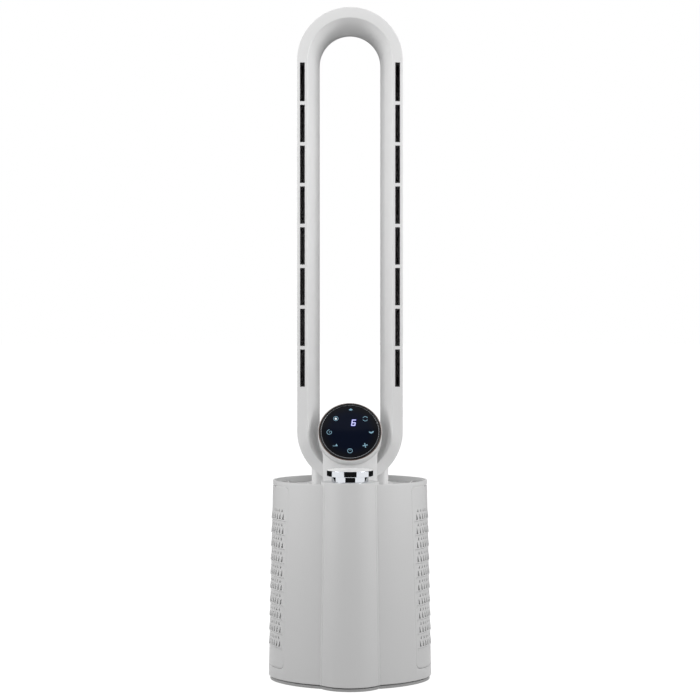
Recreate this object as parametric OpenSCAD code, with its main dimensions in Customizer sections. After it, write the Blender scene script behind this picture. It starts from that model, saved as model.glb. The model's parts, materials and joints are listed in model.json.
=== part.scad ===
// Tower fan without open blades: a tall air loop on a swivelling stem, over an oval base
// that holds the fan unit, two side filters and a lift-out water canister.
// Millimetres. +Z up, front is -Y, origin on the floor under the middle of the base.

/* [Base] */
// Width of the base at its widest, just above the floor
base_w = 262.6; // [250:0.1:290]
// Depth of the oval part of the base
base_d = 230; // [220:1:240]
// Radius of the left and right ends of the oval, seen from above
end_r = 95; // [88:1:100]
// How far the front column stands out of the oval
column_proud = 20; // [16:1:24]
// Radius of the front column at its foot
column_r = 53; // [52:0.5:58]
// How much the base draws in on each side from foot to rim
flare = 7.3; // [3:0.1:7.5]
// Height of the rim above the floor
rim_z = 321.3; // [312:0.1:360]
// Height of the column's roof above the rim
roof_rise = 3; // [3:0.1:8]
// Depth of the deck below the rim
deck_drop = 10.5; // [7:0.5:12]
// Wall of the housings
wall = 3; // [2.4:0.1:3.2]
// Height of the foot plate's top edge
foot_top = 5; // [4:0.5:8]
// Height of the shadow gap over the foot plate
gap_h = 2; // [1:0.5:4]
// How far the foot plate stands back from the housing
foot_inset = 2.4; // [1:0.1:5]
// How far the rubber feet stand out under the foot plate
feet_proud = 0.6; // [0.4:0.1:1.5]

/* [Side covers] */
// Width of a filter cover along the side of the base
cover_w = 130; // [126:1:134]
// Height of a cover's lower edge
cover_z = 24; // [20:1:28]
// Distance from a cover's top edge to the rim
cover_top_gap = 7; // [5:0.5:10]
// Corner radius of a cover
cover_r = 9; // [5:0.5:14]
// Thickness of a cover
cover_t = 2.6; // [2:0.1:2.9]
// Gap round a cover
cover_gap = 0.4; // [0.3:0.05:0.8]
// Height of the lowest row of drop-shaped holes
drop_z = 63.7; // [55:0.1:70]
// Spacing of the rows of holes
row_pitch = 22.47; // [20:0.01:23]
// Rows of holes
rows = 10; // [4:1:10]
// Spacing of the holes in a row
hole_pitch = 7.5; // [6.5:0.1:7.6]
// Holes in a row
columns = 16; // [8:1:16]

/* [Water canister] */
// Radius of the canister
tank_r = 36.5; // [33:0.1:36.6]
// Radius of the canister's lid
lid_r = 38.5; // [38:0.1:38.6]
// Radius of the chrome cap
cap_r = 36.7; // [34:0.1:38]
// Thickness of the chrome cap
cap_h = 9.4; // [5:0.1:10]
// Radius of the chrome neck
neck_r = 29.2; // [25:0.1:30]
// Height of the chrome neck
neck_h = 9.3; // [9:0.1:12]

/* [Loop] */
// Height of the whole fan
total_h = 1080; // [900:1:1200]
// Outer radius of the loop's arcs
loop_r = 85; // [84:0.5:86]
// Radius of the ridge between the front face and the sloping throat
ridge_r = 68; // [67:0.5:69]
// Radius of the opening behind the throat
bore_r = 50; // [46:0.5:52]
// Height of the centre of the lower arc
low_z = 400; // [399:0.5:401]
// Depth of the loop from front to back
loop_d = 102; // [95:1:106]
// Depth of the sloping throat
throat_d = 60; // [56:1:64]
// Wall of the loop
loop_wall = 3; // [2.4:0.1:3.2]
// Width of an air slot
slot_w = 7.7; // [6:0.1:8.2]
// Length of an air slot
slot_l = 60; // [40:0.1:62]
// Spacing of the slots
slot_pitch = 65.4; // [64:0.1:66]
// Slots on each side
slots = 8; // [4:1:8]
// Distance from an air slot to the loop's outer side
slot_edge = 4.8; // [4:0.1:5.2]
// Height of the top of the highest slot
slot_top_z = 991.4; // [980:0.1:995]
// How much longer the highest slot is than the others
slot_extra = 2.2; // [0:0.1:4]

/* [Swivel and stem] */
// Distance of the swivel axis behind the origin
swivel_y = 40; // [39.5:0.1:42]
// Radius of the turntable
table_r = 70; // [69.9:0.1:71]
// Width of the stem
stem_w = 124; // [112:1:125]
// Depth of the stem
stem_d = 64; // [60:1:65]
// Corner radius of the stem
stem_r = 10; // [7:0.5:14]
// Teeth of the swivel gear
ring_teeth = 60; // [60:60]
// Teeth of the driving pinion
pinion_teeth = 12; // [12:12]
// Tooth module of the swivel gears
gear_m = 2; // [1.95:0.01:2.02]

/* [Control pod] */
// Radius of the pod's face
face_r = 50.3; // [48:0.1:50.6]
// Radius of the pod's white housing
pod_r = 51.5; // [51.2:0.1:51.8]
// Depth of the pod
pod_d = 34; // [28:0.5:35]
// Angle by which the face leans back
pod_lean = 28; // [24:0.5:30]
// Height of the middle of the face
pod_z = 399.6; // [397:0.1:400]
// Width of the pedestal under the pod
pedestal_w = 87.6; // [70:0.1:92]

/* [Fan unit] */
// Inner radius of the fan housing
fan_r = 60; // [58:0.5:60.5]
// Outer radius of the impeller
impeller_r = 56; // [52:0.5:57]
// Blades of the impeller
blades = 9; // [7:1:11]
// Radius of the motor case
motor_r = 26; // [24:0.5:28]
// Radius of the motor shaft
shaft_r = 3; // [2.5:0.1:4]

/* [Hidden] */
$fn = 96;
over = 1;           // overrun of every cut
seat = 0.3;         // gap between faces of pieces that only face each other
run_fit = 0.06;     // radial clearance of a turning fit
thin = 2;           // wall of inner mouldings

// Plan of the base: two end arcs joined by a front and a back arc
oval_y = column_proud / 2;
half_w = base_w / 2;
half_d = base_d / 2;
end_x = half_w - end_r;
long_r = (end_x * end_x + half_d * half_d - end_r * end_r) / (2 * (half_d - end_r));
long_y = long_r - half_d;
join_a = atan2(long_y, end_x);
body_z = foot_top + gap_h;
column_y = oval_y - half_d - column_proud + column_r;
roof_z = rim_z + roof_rise;
far = 2 * (long_r + end_r);

// Levels in the base
pan_top = body_z + thin;
flange_t = 3;
flange_w = 11;
deck_t = 3;
deck_z = rim_z - deck_drop;
roof_foot = deck_z - deck_t;
roof_step = 0.15;
ledge_w = 5;
seam_back = 20;
seam_y = oval_y + seam_back;

// Base screws, on the flange inside the housing wall
screw_inset = 8.5;
screw_r = 1.5;
screw_head_r = 3;
screw_head_h = 1.6;
boss_r = 5;
boss_h = 13;
screw_depth = 71.3;
screw_x = half_w - screw_depth;
screw_arc = long_r - screw_inset;
screw_y = sqrt(screw_arc * screw_arc - screw_x * screw_x) - long_y;
screw_spots = [
    [screw_x, screw_y], [-screw_x, screw_y], [screw_x, -screw_y], [-screw_x, -screw_y],
    [half_w - screw_inset, 0], [screw_inset - half_w, 0]
];
foot_r = 9;
foot_t = 2.6;
foot_clear = 0.2;
foot_depth = 43.3;
foot_x = half_w - foot_depth;
foot_y = 58;
foot_spots = [
    [foot_x, foot_y], [-foot_x, foot_y], [foot_x, -foot_y], [-foot_x, -foot_y]
];

// Filter, its frame and the cradle that holds it, right-hand side
cover_top = rim_z - cover_top_gap;
filter_edge = 5;
filter_half = cover_w / 2 - filter_edge;
filter_depth = 47.3;
filter_x = half_w - filter_depth;
filter_foot = 10;
filter_z0 = cover_z + filter_foot;
filter_head = 8;
filter_z1 = deck_z - deck_t - filter_head;
filter_t = 2;
filter_back = 0.2;
slide_gap = 0.6;
cradle_t = 6;
cradle_x = filter_x - cradle_t;
cradle_half = filter_half + slide_gap;
cradle_flange = 6;
bar_w = 3;
pleat_x0 = filter_x + filter_t;
pleat_depth = 8;
pleat_pitch = 5;
pleat_t = 0.9;
dot_w = 3;
dot_h = 4.5;
drop_w = 4;
drop_h = 9;
dot_rise = 9.6;
notch_w = 60;
notch_h = 2.4;

// Canister and its well
tank_back = 49.5;
tank_y = oval_y - half_d - column_proud + tank_back;
well_gap = 0.5;
well_in = tank_r + well_gap;
well_t = 1.7;
well_stand = 13;
well_floor = pan_top + well_stand;
floor_t = 3;
disc_r = 10;
disc_t = 2;
tank_stand = 6;
tank_z = well_floor + floor_t + tank_stand;
tank_wall = 2;
lid_t = 4;
seal_t = 2.3;
tank_top = roof_z - lid_t - seal_t;
plug_h = 8;
lid_gap = 0.4;
valve_r = 6;
valve_h = 3.2;
neck_wall = 3;

// Swivel, centred on its own axis
table_gap = 0.5;
table_z = deck_z + table_gap;
table_t = 2.5;
table_top = table_z + table_t;
spigot_t = 4;
tooth_rise_share = 0.9;
tooth_dip_share = 1.2;
tooth_width_share = 0.8;
ring_root_r = gear_m * (ring_teeth / 2 - tooth_dip_share);
ring_rim = 0.6;
spigot_r = ring_root_r - ring_rim - run_fit;
spigot_in = spigot_r - spigot_t;
gear_h = 6;
gear_drop = 4;
gear_top = deck_z - deck_t - gear_drop;
boss_t = 3;
keeper_h = 3;
keeper_w = 3;
keeper_gap = 0.5;
spigot_z = gear_top - gear_h - keeper_h - keeper_gap;
slide_edge = 1.5;
slide_w = 3.5;
slide_out = table_r - slide_edge;
slide_in = slide_out - slide_w;
slide_t = 1.2;
slide_sink = 0.8;
sweep_gap = 1.5;
gear_dist = gear_m * (ring_teeth + pinion_teeth) / 2;
pinion_a = 225;
axle_r = 2.5;
stepper_r = 14;
stepper_h = 19;
stepper_z = spigot_z - seat - stepper_h;
post_r = 3;
post_gap = 2;

// Stem and loop
saddle_gap = 0.3;
stem_wall = 3;
stem_boss_r = 4;
stem_boss_h = 9;
stem_screw_in = 6;
stem_screw_x = stem_w / 2 - stem_screw_in;
stem_screw_y = stem_d / 2 - stem_screw_in;
loop_ahead = 44;
loop_y = swivel_y - loop_ahead;
high_z = total_h - loop_r;
split_d = 12;
edge_c = 1;
rear_c = 4;
slope_share = (ridge_r - bore_r) / throat_d;
port_w = 84;
port_d = 52;
port_behind = 18;
port_y0 = loop_y + port_behind;
port_y1 = port_y0 + port_d;
slot_x = loop_r - slot_edge - slot_w / 2;
slot_c = 1.2;
strip_gap = 0.8;
strip_t = 2;
strip_mouth = 4.6;

// Control pod, in the frame of its face: z is out of the face
pod_ahead = 5;
pod_y = loop_y - pod_ahead;
pod_wall = 2.5;
pod_lip = 1;
hair_w = 0.4;
bezel_w = 3.1;
bezel_t = 3;
trim_w = 0.8;
glass_t = 2;
board_t = 1.6;
board_z = -9;
ribbon_w = 14;
ribbon_t = 0.6;
ribbon_slot_z = -22;
ribbon_slot_h = 6;
pedestal_bulge = 10;
pedestal_ahead = 15;
pedestal_y = loop_y - pedestal_ahead;
pedestal_wall = 2.5;
pedestal_arc = (pedestal_w * pedestal_w / 4 + pedestal_bulge * pedestal_bulge)
    / (2 * pedestal_bulge);

// Fan unit, on the swivel axis
fan_stand = 52;
fan_z = pan_top + fan_stand;
fan_wall = 2.5;
fan_h = 164;
fan_flange = 10;
leg_r = 4;
mouth_r = 46;
hub_r0 = 11;
hub_r1 = 42;
impeller_rise = 13;
impeller_z = fan_z + impeller_rise;
impeller_h = 47;
blade_t = 1.6;
blade_arc = 40;
blade_off = 38;
eye_r = 44;
impeller_gap = 4;
diffuser_z = impeller_z + impeller_h + impeller_gap;
mount_t = 7;
diffuser_in = motor_r + mount_t;
vane_n = 7;
vane_h = 58;
cone_h = 32;
cone_r = 12;
motor_rise = 6;
motor_z = diffuser_z + motor_rise;
motor_h = 46;
motor_wall = 1.5;
bearing_r = 8;
bearing_h = 5;
stator_r = 15;
magnet_r = 14;
core_h = 24;
nut_af = 10;
nut_h = 4;
riser_t = 2;
riser_gap = 1;
riser_r = spigot_in - riser_gap;
riser_cone = 26;
seal_h = 4;

// Electrics
board_w = 70;
board_h = 92;
board_back = 14;
board_y = oval_y + half_d - board_back;
main_z = fan_z + fan_wall + thin;
inlet_w = 19;
inlet_h = 12;
inlet_z = 30;
inlet_d = 20;
inlet_gap = 0.3;
pin_gap = 8.6;
pin_r = 1.2;
lead_r = 1.3;

// Colours
shell_white = [0.86, 0.86, 0.86];
shell_grey = [0.72, 0.72, 0.72];
dark = [0.10, 0.10, 0.11];
chrome = [0.80, 0.81, 0.83];
steel = [0.62, 0.63, 0.65];
board_green = [0.10, 0.33, 0.20];
clear_blue = [0.70, 0.82, 0.88];
copper = [0.72, 0.45, 0.30];
rubber = [0.14, 0.14, 0.14];

// How far the outline has drawn in at height z
function draw_in(z) = flare * (z - body_z) / (rim_z - body_z);

// Far point of the line on which an end arc and a long arc join
function join_point(x_side, y_side) =
    [x_side * (end_x + far * cos(join_a)), y_side * far * sin(join_a)];

// Plan wedges that hand each stretch of the outline to its own arc
module end_wedge(side) {
    polygon([[side * end_x, 0], join_point(side, -1), join_point(side, 1)]);
}

module long_wedge(side) {
    polygon([
        [0, -side * long_y], [end_x, 0], join_point(1, side), join_point(-1, side), [-end_x, 0]
    ]);
}

// The oval as a flat outline, drawn in by inset
module oval_plan(inset) {
    translate([0, oval_y]) {
        for (side = [-1, 1]) {
            intersection() {
                translate([side * end_x, 0]) circle(r = end_r - inset);
                end_wedge(side);
            }
            intersection() {
                translate([0, -side * long_y]) circle(r = long_r - inset);
                long_wedge(side);
            }
        }
    }
}

// The oval as a tapering solid from z0 to z1
module oval_body(z0, z1, inset) {
    h = z1 - z0;
    in0 = draw_in(z0) + inset;
    in1 = draw_in(z1) + inset;
    translate([0, oval_y, z0]) {
        for (side = [-1, 1]) {
            intersection() {
                translate([side * end_x, 0, 0])
                    cylinder(h = h, r1 = end_r - in0, r2 = end_r - in1);
                linear_extrude(height = h) end_wedge(side);
            }
            intersection() {
                translate([0, -side * long_y, 0])
                    cylinder(h = h, r1 = long_r - in0, r2 = long_r - in1);
                linear_extrude(height = h) long_wedge(side);
            }
        }
    }
}

module column_body(z0, z1, inset) {
    translate([0, column_y, z0])
        cylinder(h = z1 - z0, r1 = column_r - draw_in(z0) - inset, r2 = column_r - draw_in(z1) - inset);
}

module base_body(z0, z1, inset) {
    oval_body(z0, z1, inset);
    column_body(z0, z1, inset);
}

module base_plan(inset) {
    oval_plan(inset);
    translate([0, column_y]) circle(r = column_r - inset);
}

module on_swivel() {
    translate([0, swivel_y, 0]) children();
}

// A rounded rectangle in plan, w by d, centred
module soft_rect(w, d, r) {
    square([w - 2 * r, d], center = true);
    square([w, d - 2 * r], center = true);
    for (x = [-1, 1])
        for (y = [-1, 1])
            translate([x * (w / 2 - r), y * (d / 2 - r)]) circle(r = r);
}

// The side opening: a rounded prism along X, at both sides
module side_prism(grow, z0, z1) {
    translate([-far / 2, oval_y, (z0 + z1) / 2])
        rotate([90, 0, 90])
            linear_extrude(height = far)
                soft_rect(cover_w + 2 * grow, z1 - z0 + 2 * grow, cover_r + grow);
}

module half_space(front) {
    translate([-far, front ? seam_y : seam_y - 2 * far, -over])
        cube([2 * far, 2 * far, total_h]);
}

// Walls, floor flange and deck ledge that both housings share
module housing_shell() {
    difference() {
        union() {
            oval_body(body_z, rim_z, 0);
            column_body(body_z, roof_foot, 0);
        }
        base_body(body_z - over, rim_z + over, wall);
    }
    translate([0, 0, pan_top]) linear_extrude(height = flange_t) difference() {
        base_plan(wall / 2 + draw_in(pan_top));
        base_plan(wall + flange_w);
    }
    difference() {
        oval_body(deck_z - 2 * deck_t, deck_z - deck_t, wall / 2);
        oval_body(deck_z - 3 * deck_t, deck_z, wall + ledge_w);
        column_body(deck_z - 3 * deck_t, deck_z, -seat);
    }
}

module screw_bosses(front) {
    for (p = screw_spots)
        if ((p[1] < seam_y - oval_y) == front)
            translate([p[0], p[1] + oval_y, pan_top]) difference() {
                cylinder(h = boss_h, r = boss_r);
                translate([0, 0, -over]) cylinder(h = boss_h, r = screw_r + run_fit);
            }
}

module flange_holes() {
    for (p = screw_spots)
        translate([p[0], p[1] + oval_y, pan_top - over])
            cylinder(h = flange_t + 2 * over, r = boss_r - wall / 2);
}

module front_housing() {
    color(shell_white) {
        difference() {
            housing_shell();
            half_space(true);
            side_prism(0, cover_z, cover_top);
            flange_holes();
            translate([0, tank_y, pan_top - over])
                cylinder(h = flange_t + 2 * over, r = well_in + well_t + seat);
        }
        screw_bosses(true);
        column_roof();
    }
}

// Roof of the front column, with the bore for the canister's lid and a hollow back for the turntable
module column_roof() {
    difference() {
        union() {
            difference() {
                column_body(roof_foot, roof_z, 0);
                column_body(roof_foot - over, roof_z - wall, wall + roof_step);
            }
            intersection() {
                column_body(roof_foot, roof_z - wall / 2, wall / 2);
                on_swivel() translate([0, 0, roof_foot])
                    cylinder(h = roof_z - roof_foot, r = table_r + sweep_gap + thin);
            }
        }
        on_swivel() translate([0, 0, roof_foot - over])
            cylinder(h = roof_z - roof_foot + 2 * over, r = table_r + sweep_gap);
        translate([0, tank_y, roof_z - wall - over])
            cylinder(h = wall + 2 * over, r = lid_r + lid_gap);
    }
}

module rear_housing() {
    color(shell_white) {
        difference() {
            housing_shell();
            half_space(false);
            side_prism(0, cover_z, cover_top);
            flange_holes();
            translate([0, oval_y + half_d, inlet_z])
                cube([inlet_w + 2 * inlet_gap, far / 10, inlet_h + 2 * inlet_gap], center = true);
        }
        screw_bosses(false);
    }
}

module foot_plate() {
    color(shell_grey) difference() {
        union() {
            translate([0, 0, feet_proud])
                linear_extrude(height = foot_top - feet_proud) base_plan(foot_inset);
            translate([0, 0, foot_top]) linear_extrude(height = gap_h) base_plan(foot_inset + 2 * wall);
            translate([0, 0, body_z])
                linear_extrude(height = thin) base_plan(wall + cover_gap);
        }
        for (p = foot_spots)
            translate([p[0], p[1] + oval_y, 0]) cylinder(h = foot_t, r = foot_r + foot_clear);
        translate([0, column_y, 0]) cylinder(h = foot_t, r = foot_r + foot_clear);
        for (p = screw_spots) {
            translate([p[0], p[1] + oval_y, 0]) cylinder(h = pan_top + over, r = screw_r + foot_clear);
            translate([p[0], p[1] + oval_y, 0])
                cylinder(h = feet_proud + screw_head_h + foot_clear, r = screw_head_r + foot_clear);
        }
    }
}

module rubber_feet() {
    color(rubber) {
        for (p = foot_spots)
            translate([p[0], p[1] + oval_y, 0]) cylinder(h = foot_t, r = foot_r);
        translate([0, column_y, 0]) cylinder(h = foot_t, r = foot_r);
    }
}

module base_screws() {
    color(steel) for (p = screw_spots)
        translate([p[0], p[1] + oval_y, feet_proud + foot_clear]) {
            cylinder(h = screw_head_h, r = screw_head_r);
            cylinder(h = pan_top + boss_h - 4 * thin, r = screw_r);
        }
}

module deck_plate() {
    rim_inset = draw_in(deck_z) + wall + seat;
    color(shell_white) difference() {
        union() {
            translate([0, 0, deck_z - deck_t]) linear_extrude(height = deck_t) oval_plan(rim_inset);
            on_swivel() translate([0, 0, gear_top + seat])
                cylinder(h = deck_z - gear_top - deck_t, r = spigot_r + run_fit + boss_t);
            stepper_posts(post_r, deck_z - deck_t - stepper_z - stepper_h + over, stepper_z + stepper_h);
        }
        difference() {
            translate([0, column_y, 0])
                cylinder(h = rim_z, r = column_r - draw_in(deck_z - deck_t) + seat);
            on_swivel() cylinder(h = rim_z + over, r = table_r + sweep_gap - seat);
        }
        on_swivel() cylinder(h = rim_z, r = spigot_r + run_fit);
        on_swivel() translate([0, 0, deck_z - slide_sink]) difference() {
            cylinder(h = deck_t, r = slide_out + cover_gap / 2);
            cylinder(h = deck_t, r = slide_in - cover_gap / 2);
        }
    }
}

module stepper_posts(r, h, z) {
    on_swivel() rotate([0, 0, pinion_a]) translate([gear_dist, 0, z])
        for (side = [-1, 1])
            translate([0, side * (stepper_r + post_r + post_gap), 0]) cylinder(h = h, r = r);
}

module slide_ring() {
    color("ivory") on_swivel() translate([0, 0, deck_z - slide_sink]) difference() {
        cylinder(h = slide_t, r = slide_out);
        translate([0, 0, -over]) cylinder(h = slide_t + 2 * over, r = slide_in);
    }
}

// Side covers and filters are drawn on the right and mirrored for the left
module on_side(side) {
    mirror([side < 0 ? 1 : 0, 0, 0]) children();
}

// Holes of one kind: triangles, wide at the foot, in rows along the side
module hole_rows(w, h, z, n) {
    for (row = [0 : rows - 1])
        for (i = [0 : n - 1])
            translate([(i - (n - 1) / 2) * hole_pitch, z + row * row_pitch])
                polygon([[-w / 2, -h / 2], [w / 2, -h / 2], [w / 8, h / 2], [-w / 8, h / 2]]);
}

module filter_cover(side) {
    color(shell_white) on_side(side) difference() {
        intersection() {
            difference() {
                oval_body(body_z, rim_z, 0);
                oval_body(body_z - over, rim_z + over, cover_t);
            }
            side_prism(-cover_gap, cover_z, cover_top);
            translate([cradle_x, -far / 2, 0]) cube([far, far, rim_z]);
        }
        translate([cradle_x, oval_y, 0]) rotate([90, 0, 90])
            linear_extrude(height = far) {
                hole_rows(drop_w, drop_h, drop_z, columns);
                hole_rows(dot_w, dot_h, drop_z + dot_rise, columns - 1);
            }
        translate([cradle_x, oval_y - notch_w / 2, cover_top - notch_h])
            cube([far, notch_w, 2 * notch_h]);
    }
}

module left_filter_cover() { filter_cover(-1); }
module right_filter_cover() { filter_cover(1); }

module filter_block(x0, half, z0, z1, inset) {
    intersection() {
        oval_body(body_z, rim_z, inset);
        translate([x0, oval_y - half, z0]) cube([far, 2 * half, z1 - z0]);
    }
}

module filter_frame(side) {
    color("silver") on_side(side) difference() {
        filter_block(filter_x, filter_half, filter_z0, filter_z1, cover_t + filter_back);
        translate([filter_x - over, oval_y - filter_half + filter_t, filter_z0 + filter_t])
            cube([far, 2 * (filter_half - filter_t), filter_z1 - filter_z0 - 2 * filter_t]);
    }
}

module left_filter_frame() { filter_frame(-1); }
module right_filter_frame() { filter_frame(1); }

// Pleats: a folded sheet that runs to and fro between the two faces of the pack
module filter_media(side) {
    half = filter_half - filter_t - filter_back;
    n = 2 * floor(half / pleat_pitch);
    step = 2 * half / n;
    front = [for (i = [0 : n]) [pleat_x0 + (i % 2) * pleat_depth, i * step - half]];
    back = [for (i = [n : -1 : 0]) [pleat_x0 + pleat_t + (i % 2) * pleat_depth, i * step - half]];
    color("white") on_side(side) translate([0, oval_y, filter_z0 + filter_t + filter_back])
        linear_extrude(height = filter_z1 - filter_z0 - 2 * (filter_t + filter_back))
            polygon(concat(front, back));
}

module left_filter_media() { filter_media(-1); }
module right_filter_media() { filter_media(1); }

// Cradle: a tunnel round the filter, open bars at its back, and a flange on the housing wall
module cradle(side) {
    z0 = filter_z0 - slide_gap;
    z1 = filter_z1 + slide_gap;
    color(shell_grey) on_side(side) {
        difference() {
            union() {
                filter_block(cradle_x, cradle_half + thin, z0 - thin, z1 + thin, cover_t + slide_gap);
                intersection() {
                    filter_block(cradle_x, cradle_half + cradle_flange, z0 - cradle_flange,
                        deck_z - 2 * deck_t - seat, wall);
                    difference() {
                        oval_body(body_z, rim_z, wall);
                        oval_body(body_z - over, rim_z + over, wall + thin);
                    }
                }
            }
            translate([cradle_x - over, oval_y - cradle_half, z0])
                cube([far, 2 * cradle_half, z1 - z0]);
        }
        intersection() {
            filter_block(cradle_x, cradle_half + thin, z0 - thin, z1 + thin, cover_t + slide_gap);
            translate([cradle_x - over, oval_y - far / 2, 0])
                cube([filter_x - cradle_x - slide_gap + over, far, rim_z]);
            cradle_back(z0, z1);
        }
    }
}

module cradle_back(z0, z1) {
    difference() {
        translate([cradle_x, oval_y - cradle_half - thin, z0 - thin])
            cube([filter_x - cradle_x - slide_gap, 2 * (cradle_half + thin), z1 - z0 + 2 * thin]);
        translate([cradle_x - over, oval_y - cradle_half + bar_w, z0 + bar_w])
            cube([far, 2 * (cradle_half - bar_w), z1 - z0 - 2 * bar_w]);
    }
    for (i = [-1 : 1])
        translate([cradle_x, oval_y + i * cradle_half / 2 - bar_w / 2, z0])
            cube([thin, bar_w, z1 - z0]);
}

module left_cradle() { cradle(-1); }
module right_cradle() { cradle(1); }

module on_tank() {
    translate([0, tank_y, 0]) children();
}

module tank_well() {
    color(shell_grey) on_tank() difference() {
        translate([0, 0, pan_top])
            cylinder(h = roof_z - lid_t - seat - pan_top, r = well_in + well_t);
        translate([0, 0, well_floor + floor_t]) cylinder(h = rim_z, r = well_in);
        translate([0, 0, pan_top - over]) cylinder(h = well_floor - pan_top + over, r = well_in);
    }
}

module mist_disc() {
    color(steel) on_tank() translate([0, 0, well_floor + floor_t]) cylinder(h = disc_t, r = disc_r);
}

module tank_body() {
    color(clear_blue, 0.6) on_tank() difference() {
        translate([0, 0, tank_z]) cylinder(h = tank_top - tank_z, r = tank_r);
        translate([0, 0, tank_z + tank_wall]) cylinder(h = rim_z, r = tank_r - tank_wall);
        translate([0, 0, tank_z - over]) cylinder(h = tank_wall + 2 * over, r = valve_r - seat);
    }
}

module tank_valve() {
    color(rubber) on_tank() translate([0, 0, tank_z - valve_h]) {
        cylinder(h = valve_h, r = valve_r);
        cylinder(h = valve_h + tank_wall, r = valve_r - 2 * seat);
    }
}

module tank_seal() {
    color(rubber) on_tank() translate([0, 0, tank_top]) difference() {
        cylinder(h = seal_t, r = tank_r);
        translate([0, 0, -over]) cylinder(h = seal_t + 2 * over, r = tank_r - tank_wall);
    }
}

module tank_lid() {
    color(shell_white) on_tank() {
        translate([0, 0, roof_z - lid_t]) cylinder(h = lid_t, r = lid_r);
        translate([0, 0, tank_top - plug_h])
            cylinder(h = plug_h + roof_z - lid_t - tank_top + over, r = tank_r - tank_wall - seat);
    }
}

module chrome_neck() {
    color(chrome) on_tank() translate([0, 0, roof_z]) difference() {
        cylinder(h = neck_h, r = neck_r);
        translate([0, 0, -over]) cylinder(h = neck_h + 2 * over, r = neck_r - neck_wall);
    }
}

module chrome_cap() {
    color(chrome) on_tank() translate([0, 0, roof_z + neck_h]) cylinder(h = cap_h, r = cap_r);
}

module fan_housing() {
    color(shell_grey) on_swivel() {
        difference() {
            union() {
                translate([0, 0, fan_z]) cylinder(h = fan_h, r = fan_r + fan_wall);
                translate([0, 0, fan_z]) cylinder(h = fan_wall, r = fan_r + fan_flange);
                for (i = [0 : 3])
                    rotate([0, 0, 45 + 90 * i]) translate([fan_r + fan_flange - leg_r - over, 0, pan_top])
                        cylinder(h = fan_z - pan_top + fan_wall / 2, r = leg_r);
            }
            translate([0, 0, fan_z - over]) cylinder(h = fan_h + 2 * over, r = fan_r);
        }
    }
}

// The inlet's flared lip: a quarter round from the flange up to the throat
module inlet_bellmouth() {
    lip = fan_r - mouth_r - thin;
    color(shell_grey) on_swivel() translate([0, 0, fan_z - thin]) rotate_extrude() {
        translate([mouth_r + lip, 0]) intersection() {
            difference() {
                circle(r = lip);
                circle(r = lip - thin);
            }
            translate([-lip - over, 0]) square([lip + over, lip + over]);
        }
        translate([mouth_r + lip - over, lip - thin]) square([thin + over - seat, thin]);
    }
}

// Blades stand between the hub's cone and the outer edge line
module impeller() {
    color("dimgray") on_swivel() translate([0, 0, impeller_z]) difference() {
        union() {
            rotate_extrude() polygon([[0, 0], [hub_r0, 0], [hub_r1, impeller_h - thin],
                [hub_r1, impeller_h], [0, impeller_h]]);
            intersection() {
                linear_extrude(height = impeller_h) impeller_blades();
                rotate_extrude() polygon([[0, thin], [eye_r, thin], [eye_r, impeller_h / 4],
                    [impeller_r, impeller_h * 3 / 4], [impeller_r, impeller_h], [0, impeller_h]]);
            }
        }
        translate([0, 0, -over]) cylinder(h = impeller_h + 2 * over, r = shaft_r + run_fit);
    }
}

module impeller_blades() {
    for (i = [0 : blades - 1])
        rotate([0, 0, i * 360 / blades]) intersection() {
            translate([blade_off, 0]) difference() {
                circle(r = blade_arc);
                circle(r = blade_arc - blade_t);
            }
            difference() {
                circle(r = impeller_r + over);
                circle(r = hub_r0 - over);
            }
            translate([-impeller_r, 0]) square([2 * impeller_r + thin, impeller_r + thin]);
        }
}

module impeller_nut() {
    color(steel) on_swivel() translate([0, 0, impeller_z - nut_h]) difference() {
        cylinder(h = nut_h, r = nut_af / sqrt(3), $fn = 6);
        translate([0, 0, -over]) cylinder(h = nut_h + 2 * over, r = shaft_r + run_fit);
    }
}

module motor_shaft() {
    z0 = impeller_z - nut_h - thin;
    color(steel) on_swivel() translate([0, 0, z0])
        cylinder(h = motor_z + motor_h - motor_wall - z0 - seat, r = shaft_r);
}

module motor_case() {
    color("gray") on_swivel() translate([0, 0, motor_z]) difference() {
        cylinder(h = motor_h, r = motor_r);
        translate([0, 0, bearing_h]) cylinder(h = motor_h - 2 * bearing_h, r = motor_r - motor_wall);
        translate([0, 0, -over]) cylinder(h = motor_h - motor_wall + over, r = bearing_r);
    }
}

module motor_bearings() {
    color(steel) on_swivel() for (z = [motor_z, motor_z + motor_h - motor_wall - bearing_h])
        translate([0, 0, z]) difference() {
            cylinder(h = bearing_h, r = bearing_r);
            translate([0, 0, -over]) cylinder(h = bearing_h + 2 * over, r = shaft_r + run_fit);
        }
}

module motor_stator() {
    color(copper) on_swivel() translate([0, 0, motor_z + (motor_h - core_h) / 2]) difference() {
        cylinder(h = core_h, r = motor_r - motor_wall);
        translate([0, 0, -over]) cylinder(h = core_h + 2 * over, r = stator_r);
    }
}

module motor_magnet() {
    color("dimgray") on_swivel() translate([0, 0, motor_z + (motor_h - core_h) / 2]) difference() {
        cylinder(h = core_h, r = magnet_r);
        translate([0, 0, -over]) cylinder(h = core_h + 2 * over, r = shaft_r);
    }
}

module motor_mounts() {
    h = motor_h / 5;
    color(rubber) on_swivel() for (z = [motor_z + h / 2, motor_z + motor_h - 3 * h / 2])
        translate([0, 0, z]) difference() {
            cylinder(h = h, r = diffuser_in);
            translate([0, 0, -over]) cylinder(h = h + 2 * over, r = motor_r);
        }
}

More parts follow.
